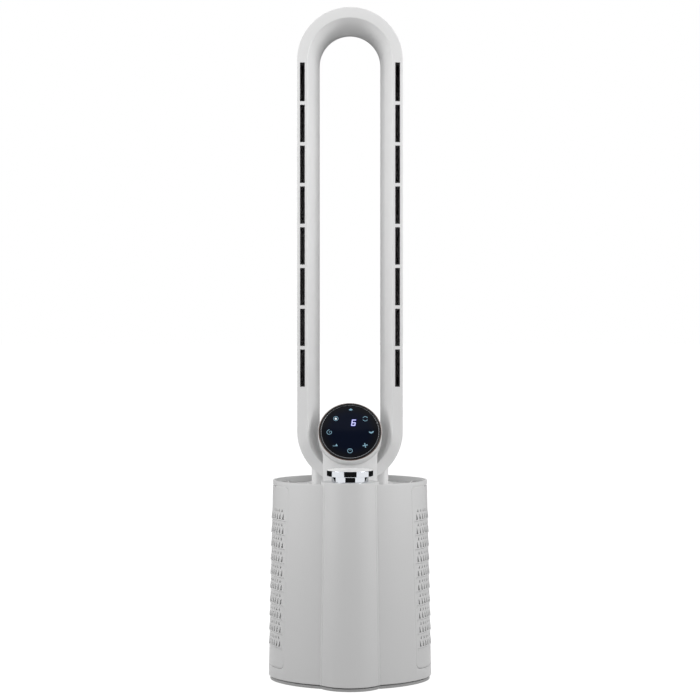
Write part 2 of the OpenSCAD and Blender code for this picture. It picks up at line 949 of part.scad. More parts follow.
module diffuser() {
    out = diffuser_in + thin;
    color(shell_grey) on_swivel() translate([0, 0, diffuser_z]) {
        rotate_extrude() polygon([
            [diffuser_in, 0], [out, 0], [out, vane_h + thin], [cone_r, vane_h + cone_h],
            [0, vane_h + cone_h], [0, vane_h + cone_h - thin], [cone_r - thin, vane_h + cone_h - thin],
            [diffuser_in, vane_h + thin]
        ]);
        for (i = [0 : vane_n - 1])
            rotate([0, 0, (i + 1 / 2) * 360 / vane_n])
                translate([out - thin / 2, -blade_t / 2, thin])
                    cube([fan_r - out + thin / 2 - seat, blade_t, vane_h - thin]);
    }
}

module riser_duct() {
    z0 = fan_z + fan_h;
    z1 = spigot_z + 3 * seal_h;
    color(shell_grey) on_swivel() rotate_extrude() polygon([
        [fan_r + fan_wall, z0], [fan_r + fan_wall, z0 + riser_t],
        [riser_r, z0 + riser_cone], [riser_r, z1], [riser_r - riser_t, z1],
        [riser_r - riser_t, z0 + riser_cone], [fan_r, z0 + riser_t / 2], [fan_r, z0]
    ]);
}

module duct_seal() {
    color(rubber) on_swivel() translate([0, 0, spigot_z + seal_h]) difference() {
        cylinder(h = seal_h, r = spigot_in - seat);
        translate([0, 0, -over]) cylinder(h = seal_h + 2 * over, r = riser_r);
    }
}

// Straight-flanked gear outline, n teeth; root_share narrows the foot of each tooth
module gear_plan(n, root_share) {
    pitch_r = gear_m * n / 2;
    half = gear_m * PI / 4 * tooth_width_share;
    rise = tooth_rise_share * gear_m;
    dip = tooth_dip_share * gear_m;
    tip_r = pitch_r + rise;
    root_r = pitch_r - dip;
    tip_a = (half - rise * tan(20)) / tip_r * 180 / PI;
    mid_a = half / pitch_r * 180 / PI;
    root_a = (half + dip * tan(20) * root_share) / root_r * 180 / PI;
    polygon([for (i = [0 : n - 1])
        for (p = [[root_r, -root_a], [pitch_r, -mid_a], [tip_r, -tip_a],
                [tip_r, tip_a], [pitch_r, mid_a], [root_r, root_a]])
            [p[0] * cos(i * 360 / n + p[1]), p[0] * sin(i * 360 / n + p[1])]]);
}

module ring_gear() {
    color("ivory") on_swivel() translate([0, 0, gear_top - gear_h]) difference() {
        rotate([0, 0, pinion_a + 180 / ring_teeth])
            linear_extrude(height = gear_h) gear_plan(ring_teeth, 1);
        translate([0, 0, -over]) cylinder(h = gear_h + 2 * over, r = spigot_r);
    }
}

module swivel_pinion() {
    color("ivory") on_swivel() rotate([0, 0, pinion_a]) translate([gear_dist, 0, 0]) {
        translate([0, 0, gear_top - gear_h]) rotate([0, 0, 180])
            linear_extrude(height = gear_h) gear_plan(pinion_teeth, 0);
        translate([0, 0, stepper_z + stepper_h / 2])
            cylinder(h = gear_top - gear_h / 2 - stepper_z - stepper_h / 2, r = axle_r);
    }
}

module stepper_motor() {
    color(steel) {
        on_swivel() rotate([0, 0, pinion_a]) translate([gear_dist, 0, stepper_z]) difference() {
            cylinder(h = stepper_h, r = stepper_r);
            translate([0, 0, stepper_h / 2 - seat]) cylinder(h = stepper_h, r = axle_r + run_fit);
        }
        difference() {
            hull() stepper_posts(post_r + thin, thin, stepper_z + stepper_h - thin);
            on_swivel() rotate([0, 0, pinion_a]) translate([gear_dist, 0, 0])
                cylinder(h = rim_z, r = axle_r + run_fit);
        }
    }
}

module turntable() {
    color(shell_white) on_swivel() difference() {
        union() {
            translate([0, 0, table_z]) cylinder(h = table_t, r = table_r);
            translate([0, 0, spigot_z]) cylinder(h = table_z - spigot_z + over, r = spigot_r);
        }
        translate([0, 0, spigot_z - over]) cylinder(h = rim_z, r = spigot_in);
        for (x = [-1, 1])
            for (y = [-1, 1])
                translate([x * stem_screw_x, y * stem_screw_y, table_z - over]) {
                    cylinder(h = rim_z, r = screw_r + foot_clear);
                    cylinder(h = screw_head_h + over, r = screw_head_r - foot_clear);
                }
    }
}

module stem_screws() {
    color(steel) on_swivel() for (x = [-1, 1])
        for (y = [-1, 1])
            translate([x * stem_screw_x, y * stem_screw_y, table_z]) {
                cylinder(h = screw_head_h, r = screw_head_r - 2 * foot_clear);
                cylinder(h = table_t + stem_boss_h - thin, r = screw_r);
            }
}

module keeper_ring() {
    color(steel) on_swivel() translate([0, 0, spigot_z]) difference() {
        cylinder(h = keeper_h, r = spigot_r + keeper_w);
        translate([0, 0, -over]) cylinder(h = keeper_h + 2 * over, r = spigot_r);
    }
}

// Stem: a rounded tube, its top cut to the loop's lower arc
module stem(front) {
    h = low_z - table_top - loop_r / 2;
    color(shell_white) difference() {
        union() {
            on_swivel() translate([0, 0, table_top]) linear_extrude(height = h) difference() {
                soft_rect(stem_w, stem_d, stem_r);
                soft_rect(stem_w - 2 * stem_wall, stem_d - 2 * stem_wall, stem_r - stem_wall);
            }
            for (x = [-1, 1])
                on_swivel() translate([x * stem_screw_x, (front ? -1 : 1) * stem_screw_y, table_top])
                    cylinder(h = stem_boss_h, r = stem_boss_r);
        }
        loop_cylinder(loop_r + saddle_gap, low_z);
        on_swivel() translate([-far / 2, front ? 0 : -far, 0]) cube([far, far, total_h]);
        for (x = [-1, 1])
            on_swivel() translate([x * stem_screw_x, (front ? -1 : 1) * stem_screw_y, table_top - over])
                cylinder(h = stem_boss_h, r = screw_r + run_fit);
    }
}

module stem_front() { stem(true); }
module stem_rear() { stem(false); }

// A cylinder along Y through the loop's whole depth, at height z
module loop_cylinder(r, z) {
    translate([0, loop_y + loop_d + over, z]) rotate([90, 0, 0])
        cylinder(h = loop_d + 2 * over, r = r);
}

// Sweeps a section round the loop; its points are [radius, depth behind the front face]
module loop_sweep(section) {
    arc = [for (p = section) [p[0], -p[1] - loop_y]];
    run = [for (p = section) [p[0], p[1] + loop_y]];
    translate([0, 0, high_z]) rotate([90, 0, 0]) rotate_extrude(angle = 180) polygon(arc);
    translate([0, 0, low_z]) rotate([90, 0, 0]) rotate([0, 0, 180])
        rotate_extrude(angle = 180) polygon(arc);
    for (side = [0, 1])
        mirror([side, 0, 0]) translate([0, 0, low_z])
            linear_extrude(height = high_z - low_z) polygon(run);
}

function slot_length(i) = slot_l + (i == 0 ? slot_extra : 0);
function slot_middle(i) = slot_top_z - slot_extra - slot_l - i * slot_pitch + slot_length(i) / 2;
function throat(d) = ridge_r - d * slope_share;
function throat_back(d) = throat(d) + loop_wall * sqrt(1 + slope_share * slope_share);

module loop_front() {
    color(shell_white) difference() {
        loop_sweep([
            [loop_r, split_d], [loop_r, edge_c], [loop_r - edge_c, 0], [ridge_r, 0],
            [bore_r, throat_d], [throat_back(throat_d), throat_d],
            [throat_back(loop_wall), loop_wall], [loop_r - loop_wall, loop_wall],
            [loop_r - loop_wall, split_d]
        ]);
        for (side = [-1, 1])
            for (i = [0 : slots - 1])
                translate([side * slot_x, loop_y + loop_wall + over, slot_middle(i)])
                    rotate([90, 0, 0]) linear_extrude(height = loop_wall + 2 * over)
                        soft_rect(slot_w, slot_length(i), slot_c);
    }
}

module loop_rear() {
    color(shell_white) difference() {
        loop_sweep([
            [loop_r, split_d], [loop_r, loop_d - rear_c], [loop_r - rear_c, loop_d],
            [bore_r + rear_c, loop_d], [bore_r, loop_d - rear_c], [bore_r, throat_d],
            [throat_back(throat_d), throat_d], [throat_back(throat_d), loop_d - loop_wall],
            [loop_r - loop_wall, loop_d - loop_wall], [loop_r - loop_wall, split_d]
        ]);
        intersection() {
            translate([-port_w / 2, port_y0, low_z - loop_r - over])
                cube([port_w, port_y1 - port_y0, loop_r]);
            difference() {
                loop_cylinder(loop_r + over, low_z);
                loop_cylinder(loop_r - loop_wall - over, low_z);
            }
        }
    }
}

// The black inserts behind the slots: a mouth plate with two side lips
module outlet_strip(side) {
    h = slots * slot_pitch + slot_pitch - slot_l;
    w = slot_w + 2 * strip_gap;
    z_mid = (slot_middle(1) + slot_middle(slots - 1) + slot_pitch) / 2;
    color(dark) translate([side * slot_x, loop_y + loop_wall, z_mid]) difference() {
        translate([-w / 2, 0, -h / 2]) cube([w, 4 * strip_t, h]);
        translate([-w / 2 + strip_gap, strip_t, -h / 2 - over])
            cube([slot_w, 4 * strip_t, h + 2 * over]);
        for (i = [0 : slots - 1])
            translate([0, 0, (i - (slots - 1) / 2) * slot_pitch])
                cube([strip_mouth, 3 * strip_t, slot_l - 2 * strip_t], center = true);
    }
}

module left_outlet_strip() { outlet_strip(-1); }
module right_outlet_strip() { outlet_strip(1); }

module on_pod() {
    translate([0, pod_y, pod_z]) rotate([90 - pod_lean, 0, 0]) children();
}

// A bowed block from the turntable up to the pod's underside
module pedestal_block(inset) {
    h = pod_z - table_top;
    intersection() {
        translate([0, pedestal_y + pedestal_arc, table_top]) cylinder(h = h, r = pedestal_arc - inset);
        translate([-pedestal_w / 2 + inset, pedestal_y - over, table_top])
            cube([pedestal_w - 2 * inset, loop_y - seat - pedestal_y + over, h]);
    }
}

module pedestal() {
    color(shell_white) difference() {
        pedestal_block(0);
        translate([0, -over, -pedestal_wall]) intersection() {
            pedestal_block(pedestal_wall);
            translate([-far / 2, pedestal_y, 0])
                cube([far, loop_y - seat - pedestal_y - pedestal_wall, total_h]);
        }
        on_pod() translate([0, 0, -2 * pod_d]) cylinder(h = 3 * pod_d, r = pod_r + saddle_gap);
    }
}

module pod_housing() {
    color(shell_white) on_pod() difference() {
        translate([0, 0, -pod_d]) cylinder(h = pod_d - pod_lip, r = pod_r);
        translate([0, 0, -pod_d - over]) cylinder(h = pod_d + over, r = pod_r - pod_wall);
        translate([0, 0, -bezel_t]) cylinder(h = bezel_t, r = face_r + foot_clear);
        translate([0, pod_wall - pod_r, ribbon_slot_z])
            cube([ribbon_w + 2 * seat, 4 * pod_wall, ribbon_slot_h], center = true);
    }
}

module pod_back_cover() {
    color(shell_white) on_pod() translate([0, 0, -pod_d])
        cylinder(h = pod_wall, r = pod_r - pod_wall - foot_clear);
}

module pod_ring(outer, inner, t) {
    on_pod() translate([0, 0, -t]) difference() {
        cylinder(h = t, r = outer);
        translate([0, 0, -over]) cylinder(h = t + 2 * over, r = inner);
    }
}

module hairline_ring() {
    color(copper) pod_ring(face_r, face_r - hair_w, bezel_t);
}

module bezel_ring() {
    color(dark) pod_ring(face_r - hair_w, face_r - hair_w - bezel_w, bezel_t);
}

module trim_ring() {
    color(chrome) pod_ring(face_r - hair_w - bezel_w, face_r - hair_w - bezel_w - trim_w, bezel_t);
}

module touch_glass() {
    color([0.05, 0.07, 0.13]) on_pod() translate([0, 0, -glass_t])
        cylinder(h = glass_t, r = face_r - hair_w - bezel_w - trim_w);
}

// The board, with the lit digit's box and the light guides between it and the glass
module display_board() {
    digit_w = 12;
    digit_h = 16;
    guide_r = 2.5;
    guide_ring_r = 33;
    keys = 8;
    color(board_green) on_pod() {
        translate([0, 0, board_z]) cylinder(h = board_t, r = pod_r - pod_wall - foot_clear);
        translate([-digit_w / 2, 2 * thin, board_z])
            cube([digit_w, digit_h, -glass_t - seat - board_z]);
        for (i = [0 : keys - 1])
            rotate([0, 0, i * 360 / keys]) translate([guide_ring_r, 0, board_z])
                cylinder(h = -glass_t - seat - board_z, r = guide_r);
    }
}

// Flat cable from the board, down inside the pedestal to the turntable
module display_ribbon() {
    y = pedestal_y + pedestal_wall + thin;
    color("white") {
        translate([-ribbon_w / 2, y, table_top])
            cube([ribbon_w, ribbon_t, pod_z - pod_r * cos(pod_lean) - table_top - 3 * pod_wall]);
    }
}

module main_board() {
    coil_r = 6;
    cap_w = 10;
    color(board_green) translate([-board_w / 2, board_y, main_z])
        cube([board_w, board_t, board_h]);
    color(dark) {
        translate([-board_w / 2 + cap_w, board_y - cap_w, main_z + cap_w])
            cube([cap_w, cap_w, cap_w]);
        translate([board_w / 2 - 2 * cap_w, board_y - cap_w, main_z + 2 * cap_w])
            cube([cap_w, cap_w, 2 * cap_w]);
        translate([board_w / 2 - cap_w, board_y, main_z + board_h - 2 * cap_w]) rotate([90, 0, 0])
            cylinder(h = cap_w, r = coil_r);
        board_stands();
    }
}

// Short stands from the board back to the housing wall
module board_stands() {
    stand_x = board_w / 4;
    for (x = [-stand_x, stand_x])
        for (z = [main_z + 2 * post_r, main_z + board_h - 2 * post_r])
            intersection() {
                translate([x, board_y + board_t, z]) rotate([-90, 0, 0]) cylinder(h = far, r = post_r);
                oval_body(body_z, rim_z, wall);
            }
}

module power_inlet() {
    y1 = oval_y + half_d - draw_in(inlet_z) - seat;
    color(dark) difference() {
        translate([-inlet_w / 2, y1 - inlet_d, inlet_z - inlet_h / 2]) cube([inlet_w, inlet_d, inlet_h]);
        translate([0, y1 - inlet_d / 2, inlet_z]) rotate([-90, 0, 0])
            linear_extrude(height = inlet_d) {
                for (x = [-1, 1]) translate([x * pin_gap / 2, 0]) circle(r = inlet_h / 2 - thin);
                square([pin_gap, inlet_h - 3 * thin], center = true);
            }
    }
    color("gold") for (x = [-1, 1])
        translate([x * pin_gap / 2, y1 - inlet_d / 2 - over, inlet_z]) rotate([-90, 0, 0])
            cylinder(h = inlet_d / 2 - thin, r = pin_r);
}

module mains_leads() {
    color("saddlebrown") for (x = [-1, 1])
        translate([x * pin_gap / 2, board_y + board_t + lead_r + foot_clear, inlet_z + inlet_h / 2])
            cylinder(h = main_z - inlet_z - inlet_h / 2 + 4 * lead_r, r = lead_r);
}

foot_plate();
rubber_feet();
front_housing();
rear_housing();
deck_plate();
base_screws();
left_filter_cover();
right_filter_cover();
left_filter_frame();
right_filter_frame();
left_filter_media();
right_filter_media();
left_cradle();
right_cradle();
tank_well();
mist_disc();
tank_body();
tank_valve();
tank_seal();
tank_lid();
chrome_neck();
chrome_cap();
fan_housing();
inlet_bellmouth();
impeller();
impeller_nut();
motor_shaft();
motor_case();
motor_bearings();
motor_stator();
motor_magnet();
motor_mounts();
diffuser();
riser_duct();
duct_seal();
slide_ring();
stepper_motor();
swivel_pinion();
main_board();
power_inlet();
mains_leads();
turntable();
ring_gear();
keeper_ring();
stem_front();
stem_rear();
stem_screws();
loop_front();
loop_rear();
left_outlet_strip();
right_outlet_strip();
pedestal();
pod_housing();
pod_back_cover();
hairline_ring();
bezel_ring();
trim_ring();
touch_glass();
display_board();
display_ribbon();
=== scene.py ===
# %% [markdown]
# This lesson dresses a tall bladeless fan for its portrait. The CAD solids are already in the right
# place, in metres, so the script loads them first and then adds finishes and finer pieces round them.
# A solid whose shape is right stays and only gets a material. A solid with a crisp edge that the eye
# would catch is replaced by a softer copy, and a few pieces are modelled afresh.

import json
import math

import bmesh
import bpy
from mathutils import Matrix, Vector


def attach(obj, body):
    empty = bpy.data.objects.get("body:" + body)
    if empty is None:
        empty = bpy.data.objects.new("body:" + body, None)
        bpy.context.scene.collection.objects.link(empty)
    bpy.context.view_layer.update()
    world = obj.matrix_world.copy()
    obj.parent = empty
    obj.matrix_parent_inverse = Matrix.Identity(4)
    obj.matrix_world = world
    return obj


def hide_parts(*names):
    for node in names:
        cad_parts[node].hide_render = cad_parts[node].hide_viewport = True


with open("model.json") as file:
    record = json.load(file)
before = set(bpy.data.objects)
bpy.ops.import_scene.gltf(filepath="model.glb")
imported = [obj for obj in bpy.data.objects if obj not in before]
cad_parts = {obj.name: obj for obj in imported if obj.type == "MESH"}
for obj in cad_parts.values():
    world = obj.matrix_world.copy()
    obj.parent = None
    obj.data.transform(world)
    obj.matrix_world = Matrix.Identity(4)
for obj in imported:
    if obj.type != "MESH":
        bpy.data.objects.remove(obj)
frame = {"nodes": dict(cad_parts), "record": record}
scene = bpy.context.scene
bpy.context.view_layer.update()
MM = 0.001

# %% [markdown]
# The photograph is a straight front view from a little above the middle of the fan. Its rim and foot
# ellipses are open by different amounts, which gives the camera's height and distance. A long lens that
# looks down by about one degree repeats it. A shifted lens would also do, but the shift would stay when
# the camera goes round the fan, so the camera is tilted instead.

# %% Camera
SENSOR, LENS = 36.0, 108.43
CAMERA_BACK, CAMERA_UP, LOOK_DOWN = 3.390, 0.599, 1.159
camera_data = bpy.data.cameras.new("portrait_camera")
camera_data.sensor_width = SENSOR
camera_data.lens = LENS
camera = bpy.data.objects.new("portrait_camera", camera_data)
camera.location = (0.0, -CAMERA_BACK, CAMERA_UP)
camera.rotation_euler = (math.radians(90.0 - LOOK_DOWN), 0.0, 0.0)
scene.collection.objects.link(camera)
scene.camera = camera
scene.view_settings.view_transform = "Standard"
print("camera at", tuple(camera.location), "lens", camera_data.lens)


# %% [markdown]
# Pale plastic shows its form through soft changes of grey, so the light is two tall soft boxes in front
# and an even sky. The soft boxes start well above the floor, so the base darkens towards its foot as in
# the photograph. Chrome shows the room and not itself: two dark cards that only reflections see give it
# its black bands, as a photographer's flags do.

# %% Nodes in few words
def add_node(tree, kind, **values):
    """A node of that kind, with its properties and its numbered or named inputs set."""
    made = tree.nodes.new(kind)
    for key, value in values.items():
        if hasattr(made, key):
            setattr(made, key, value)
        else:
            made.inputs[key.replace("_", " ")].default_value = value
    return made


def join(tree, *pairs):
    """Links each pair of an output and an input."""
    for source, target in pairs:
        tree.links.new(source, target)


def bare_tree(owner):
    """The empty node tree of a new world or material."""
    owner.use_nodes = True
    owner.node_tree.nodes.clear()
    return owner.node_tree


def seen_by_eye(tree):
    """1 for rays from the camera, from a mirror or through glass, and 0 for light that spreads."""
    path = add_node(tree, "ShaderNodeLightPath").outputs
    first = add_node(tree, "ShaderNodeMath", operation="MAXIMUM")
    second = add_node(tree, "ShaderNodeMath", operation="MAXIMUM")
    join(tree, (path["Is Camera Ray"], first.inputs[0]), (path["Is Glossy Ray"], first.inputs[1]),
         (first.outputs[0], second.inputs[0]), (path["Is Transmission Ray"], second.inputs[1]))
    return second.outputs[0]


def lit_and_shown(tree, lit, shown, output):
    """Gives the output node one shader for the light that spreads and another for the eye."""
    blend = add_node(tree, "ShaderNodeMixShader")
    join(tree, (seen_by_eye(tree), blend.inputs["Fac"]), (lit.outputs[0], blend.inputs[1]),
         (shown.outputs[0], blend.inputs[2]), (blend.outputs[0], add_node(tree, output).inputs["Surface"]))


# %% Sky
SKY = 0.78
WHITE = (1.0, 1.0, 1.0, 1.0)
world = bpy.data.worlds.new("studio_sky")
scene.world = world
tree = bare_tree(world)
lit_and_shown(tree, add_node(tree, "ShaderNodeBackground", Color=WHITE, Strength=SKY),
              add_node(tree, "ShaderNodeBackground", Color=WHITE, Strength=1.0), "ShaderNodeOutputWorld")
print("sky strength", SKY)


# %% Floor
def link(obj):
    scene.collection.objects.link(obj)
    return obj


def mesh_of(bm, name):
    """Turns a bmesh into a mesh and frees it."""
    mesh = bpy.data.meshes.new(name)
    bm.to_mesh(mesh)
    bm.free()
    return mesh


FLOOR_SIZE = 60.0
FLOOR_GREY, FLOOR_PALE = 0.26, 0.9
FLOOR_GLOW, GLOW_STRENGTH = 0.8, 1.2
bm = bmesh.new()
bmesh.ops.create_grid(bm, x_segments=1, y_segments=1, size=FLOOR_SIZE / 2)
floor = link(bpy.data.objects.new("studio_floor", mesh_of(bm, "studio_floor")))
floor_paint = bpy.data.materials.new("pale_floor")
tree = bare_tree(floor_paint)
matt = add_node(tree, "ShaderNodeBsdfDiffuse", Color=(FLOOR_GREY, FLOOR_GREY, FLOOR_GREY, 1.0))
pale = add_node(tree, "ShaderNodeBsdfDiffuse", Color=(FLOOR_PALE, FLOOR_PALE, FLOOR_PALE, 1.0))
glow = add_node(tree, "ShaderNodeEmission", Color=WHITE, Strength=GLOW_STRENGTH)
half = add_node(tree, "ShaderNodeMixShader", Fac=FLOOR_GLOW)
join(tree, (pale.outputs[0], half.inputs[1]), (glow.outputs[0], half.inputs[2]))
lit_and_shown(tree, matt, half, "ShaderNodeOutputMaterial")
floor.data.materials.append(floor_paint)


# %% Soft boxes
def aimed(place, target):
    """A matrix at place whose -Z looks at target."""
    look = (Vector(target) - Vector(place)).to_track_quat("-Z", "Y")
    return Matrix.Translation(place) @ look.to_matrix().to_4x4()


SOFT_BOXES = {"soft_box_left": (-1.0, 3.05), "soft_box_right": (1.0, 3.3)}
BOX_X, BOX_Y, BOX_Z = 1.10, -0.50, 1.02
BOX_WIDE, BOX_HIGH, BOX_SPREAD = 0.45, 1.05, 100.0
for name, (side, watts) in SOFT_BOXES.items():
    lamp = bpy.data.lights.new(name, "AREA")
    lamp.shape = "RECTANGLE"
    lamp.size, lamp.size_y = BOX_WIDE, BOX_HIGH
    lamp.energy = watts
    lamp.spread = math.radians(BOX_SPREAD)
    soft_box = link(bpy.data.objects.new(name, lamp))
    soft_box.matrix_world = aimed((side * BOX_X, BOX_Y, BOX_Z), (0.0, 0.0, BOX_Z))
    print(name, watts, "W")

# %% Dark cards for the chrome
CARD_BLACK = (0.01, 0.01, 0.01, 1.0)
card_paint = bpy.data.materials.new("dark_card")
tree = bare_tree(card_paint)
black = add_node(tree, "ShaderNodeEmission", Color=CARD_BLACK, Strength=1.0)
join(tree, (black.outputs[0], add_node(tree, "ShaderNodeOutputMaterial").inputs["Surface"]))
CARDS = {"card_front": (1.5, -28.0, 31.0), "card_back": (1.9, 102.0, 262.0)}
CARD_LOW, CARD_HIGH = 0.02, 2.4
CARD_STEP = 6.0


def curved_card(name, radius, start, end):
    """Part of an upright cylinder round the fan; angles count from the front to the right."""
    bm = bmesh.new()
    turn = Matrix.Rotation(math.radians(start - 90.0), 4, "Z")
    foot, head = (bm.verts.new(turn @ Vector((radius, 0.0, z))) for z in (CARD_LOW, CARD_HIGH))
    bmesh.ops.spin(bm, geom=[foot, head, bm.edges.new((foot, head))], cent=(0, 0, 0), axis=(0, 0, 1),
                   angle=math.radians(end - start), steps=int((end - start) / CARD_STEP), use_duplicate=False)
    return link(bpy.data.objects.new(name, mesh_of(bm, name)))


for name, (radius, start, end) in CARDS.items():
    card = curved_card(name, radius, start, end)
    card.data.materials.append(card_paint)
    for kind in ("camera", "diffuse", "shadow", "transmission"):
        setattr(card, "visible_" + kind, False)
print("cards:", list(CARDS))


# %% [markdown]
# Every finish is a Principled shader. What changes over a surface comes from three node groups that the
# materials share: the skin of a moulding, the lines of turned or brushed metal, and the fibres of felt.
# Each group reads Object coordinates, so the pattern keeps its real size on a large or a small piece.

# %% Helpers for groups
COLOUR, VALUE = "NodeSocketColor", "NodeSocketFloat"
FELT_OUT = [("Colour", COLOUR), ("Height", VALUE)]
FULL_OUT = [*FELT_OUT, ("Roughness", VALUE)]
TEXTURE_LOW, TEXTURE_HIGH = 0.3, 0.7


def start_group(name, inputs, outputs):
    """A new group and its sockets: the tree, the inputs' sockets and the outputs' sockets."""
    tree = bpy.data.node_groups.new(name, "ShaderNodeTree")
    for label, kind, value in inputs:
        tree.interface.new_socket(label, in_out="INPUT", socket_type=kind).default_value = value
    for label, kind in outputs:
        tree.interface.new_socket(label, in_out="OUTPUT", socket_type=kind)
    return tree, tree.nodes.new("NodeGroupInput").outputs, tree.nodes.new("NodeGroupOutput").inputs


def spread(tree, source, low, high, low_socket=None, high_socket=None):
    """Maps a texture's middle range to low and high, or to what the sockets give."""
    made = add_node(tree, "ShaderNodeMapRange", From_Min=TEXTURE_LOW, From_Max=TEXTURE_HIGH,
                    To_Min=low, To_Max=high)
    join(tree, (source, made.inputs["Value"]))
    if low_socket:
        join(tree, (low_socket, made.inputs["To Min"]))
    if high_socket:
        join(tree, (high_socket, made.inputs["To Max"]))
    return made.outputs["Result"]


def finish_group(tree, given, results, tone, height, texture, patch):
    """Ends a group: tone darkens the colour where the texture is low, and the patches set the roughness."""
    less = add_node(tree, "ShaderNodeMath", operation="SUBTRACT")
    less.inputs[0].default_value = 1.0
    tinted = add_node(tree, "ShaderNodeVectorMath", operation="SCALE")
    join(tree, (tone, less.inputs[1]), (given["Colour"], tinted.inputs[0]),
         (spread(tree, texture, 0.0, 1.0, low_socket=less.outputs[0]), tinted.inputs["Scale"]),
         (tinted.outputs[0], results["Colour"]), (height, results["Height"]),
         (spread(tree, patch, 0.0, 1.0, given["Smoothest"], given["Roughest"]), results["Roughness"]))


# %% Skin of a moulding: fine grain, slow changes of tone, and patches that hands have polished
skin, given, results = start_group(
    "moulded_skin",
    [("Colour", COLOUR, (0.7, 0.7, 0.7, 1)), ("Tone", VALUE, 0.02), ("Grain per metre", VALUE, 1500.0),
     ("Smoothest", VALUE, 0.35), ("Roughest", VALUE, 0.45)], FULL_OUT)
place = add_node(skin, "ShaderNodeTexCoord").outputs["Object"]
grain = add_node(skin, "ShaderNodeTexNoise", Detail=2.0)
cloud = add_node(skin, "ShaderNodeTexNoise", Scale=7.0, Detail=3.0)
patch = add_node(skin, "ShaderNodeTexNoise", Scale=38.0, Detail=4.0, Distortion=0.6)
for texture in (grain, cloud, patch):
    join(skin, (place, texture.inputs["Vector"]))
join(skin, (given["Grain per metre"], grain.inputs["Scale"]))
finish_group(skin, given, results, given["Tone"], grain.outputs["Fac"], cloud.outputs["Fac"],
             patch.outputs["Fac"])

# %% Lines of turned or brushed metal: noise that is stretched round the Z axis
LINE_STRETCH = (0.04, 0.04, 1.0)
lines, given, results = start_group(
    "brushed_lines",
    [("Colour", COLOUR, (0.6, 0.6, 0.6, 1)), ("Lines per metre", VALUE, 900.0),
     ("Depth of tone", VALUE, 0.12), ("Smoothest", VALUE, 0.2), ("Roughest", VALUE, 0.4)], FULL_OUT)
stretch = add_node(lines, "ShaderNodeMapping")
stretch.inputs["Scale"].default_value = LINE_STRETCH
streak = add_node(lines, "ShaderNodeTexNoise", Detail=3.0)
join(lines, (add_node(lines, "ShaderNodeTexCoord").outputs["Object"], stretch.inputs["Vector"]),
     (stretch.outputs[0], streak.inputs["Vector"]), (given["Lines per metre"], streak.inputs["Scale"]))
streaks = streak.outputs["Fac"]
finish_group(lines, given, results, given["Depth of tone"], streaks, streaks, streaks)

# %% Fibres of pressed felt
felt, given, results = start_group(
    "felt_fibres",
    [("Colour", COLOUR, (0.8, 0.8, 0.78, 1)), ("Shadow", COLOUR, (0.6, 0.6, 0.58, 1)),
     ("Fibres per metre", VALUE, 700.0)], FELT_OUT)
tangle = add_node(felt, "ShaderNodeTexNoise", Detail=6.0, Distortion=2.5)
fibres = tangle.outputs["Fac"]
mixed = add_node(felt, "ShaderNodeMix", data_type="RGBA")
join(felt, (add_node(felt, "ShaderNodeTexCoord").outputs["Object"], tangle.inputs["Vector"]),
     (given["Fibres per metre"], tangle.inputs["Scale"]),
     (spread(felt, fibres, 0.0, 1.0), mixed.inputs["Factor"]), (given["Shadow"], mixed.inputs["A"]),
     (given["Colour"], mixed.inputs["B"]), (mixed.outputs["Result"], results["Colour"]),
     (fibres, results["Height"]))
print("groups:", [g.name for g in bpy.data.node_groups])


# %% [markdown]
# A colour is written as the eye sees it, from 0 to 255, and turned into the linear value that the shader
# wants. One function builds a material from a group and the shader's own numbers.

# %% One function for every finish
def seen(red, green=None, blue=None):
    """The linear colour of three levels, or of one level of grey, by the sRGB curve."""
    levels = (red, red if green is None else green, red if blue is None else blue)
    linear = [v / 255 / 12.92 if v <= 10 else ((v / 255 + 0.055) / 1.055) ** 2.4 for v in levels]
    return (*linear, 1.0)


def start_material(name):
    """A new material, its tree and its Principled shader."""
    made = bpy.data.materials.new(name)
    made.use_nodes = True
    return made, made.node_tree, made.node_tree.nodes["Principled BSDF"]


def add_relief(tree, surface, height, strength, depth):
    relief = add_node(tree, "ShaderNodeBump", Strength=strength, Distance=depth)
    join(tree, (height, relief.inputs["Height"]), (relief.outputs[0], surface.inputs["Normal"]))


def finish(name, group, numbers, bump=0.1, depth=0.00005, **shader):
    """A Principled material whose colour, roughness and bump come from a group."""
    made, tree, surface = start_material(name)
    effect = add_node(tree, "ShaderNodeGroup", node_tree=group)
    for label, value in numbers.items():
        effect.inputs[label].default_value = value
    join(tree, (effect.outputs["Colour"], surface.inputs["Base Color"]))
    if "Roughness" in effect.outputs:
        join(tree, (effect.outputs["Roughness"], surface.inputs["Roughness"]))
    add_relief(tree, surface, effect.outputs["Height"], bump, depth)
    for label, value in shader.items():
        surface.inputs[label.replace("_", " ")].default_value = value
    return made


def plastic(name, colour, smooth, rough, tone=0.03, grain=1500.0, bump=0.12, **shader):
    numbers = {"Colour": colour, "Tone": tone, "Grain per metre": grain, "Smoothest": smooth,
               "Roughest": rough}
    return finish(name, skin, numbers, bump, **shader)


def metal(name, colour, smooth, rough, tone=0.12, per_metre=900.0, bump=0.05, **shader):
    numbers = {"Colour": colour, "Depth of tone": tone, "Lines per metre": per_metre,
               "Smoothest": smooth, "Roughest": rough}
    return finish(name, lines, numbers, bump, Metallic=1.0, **shader)


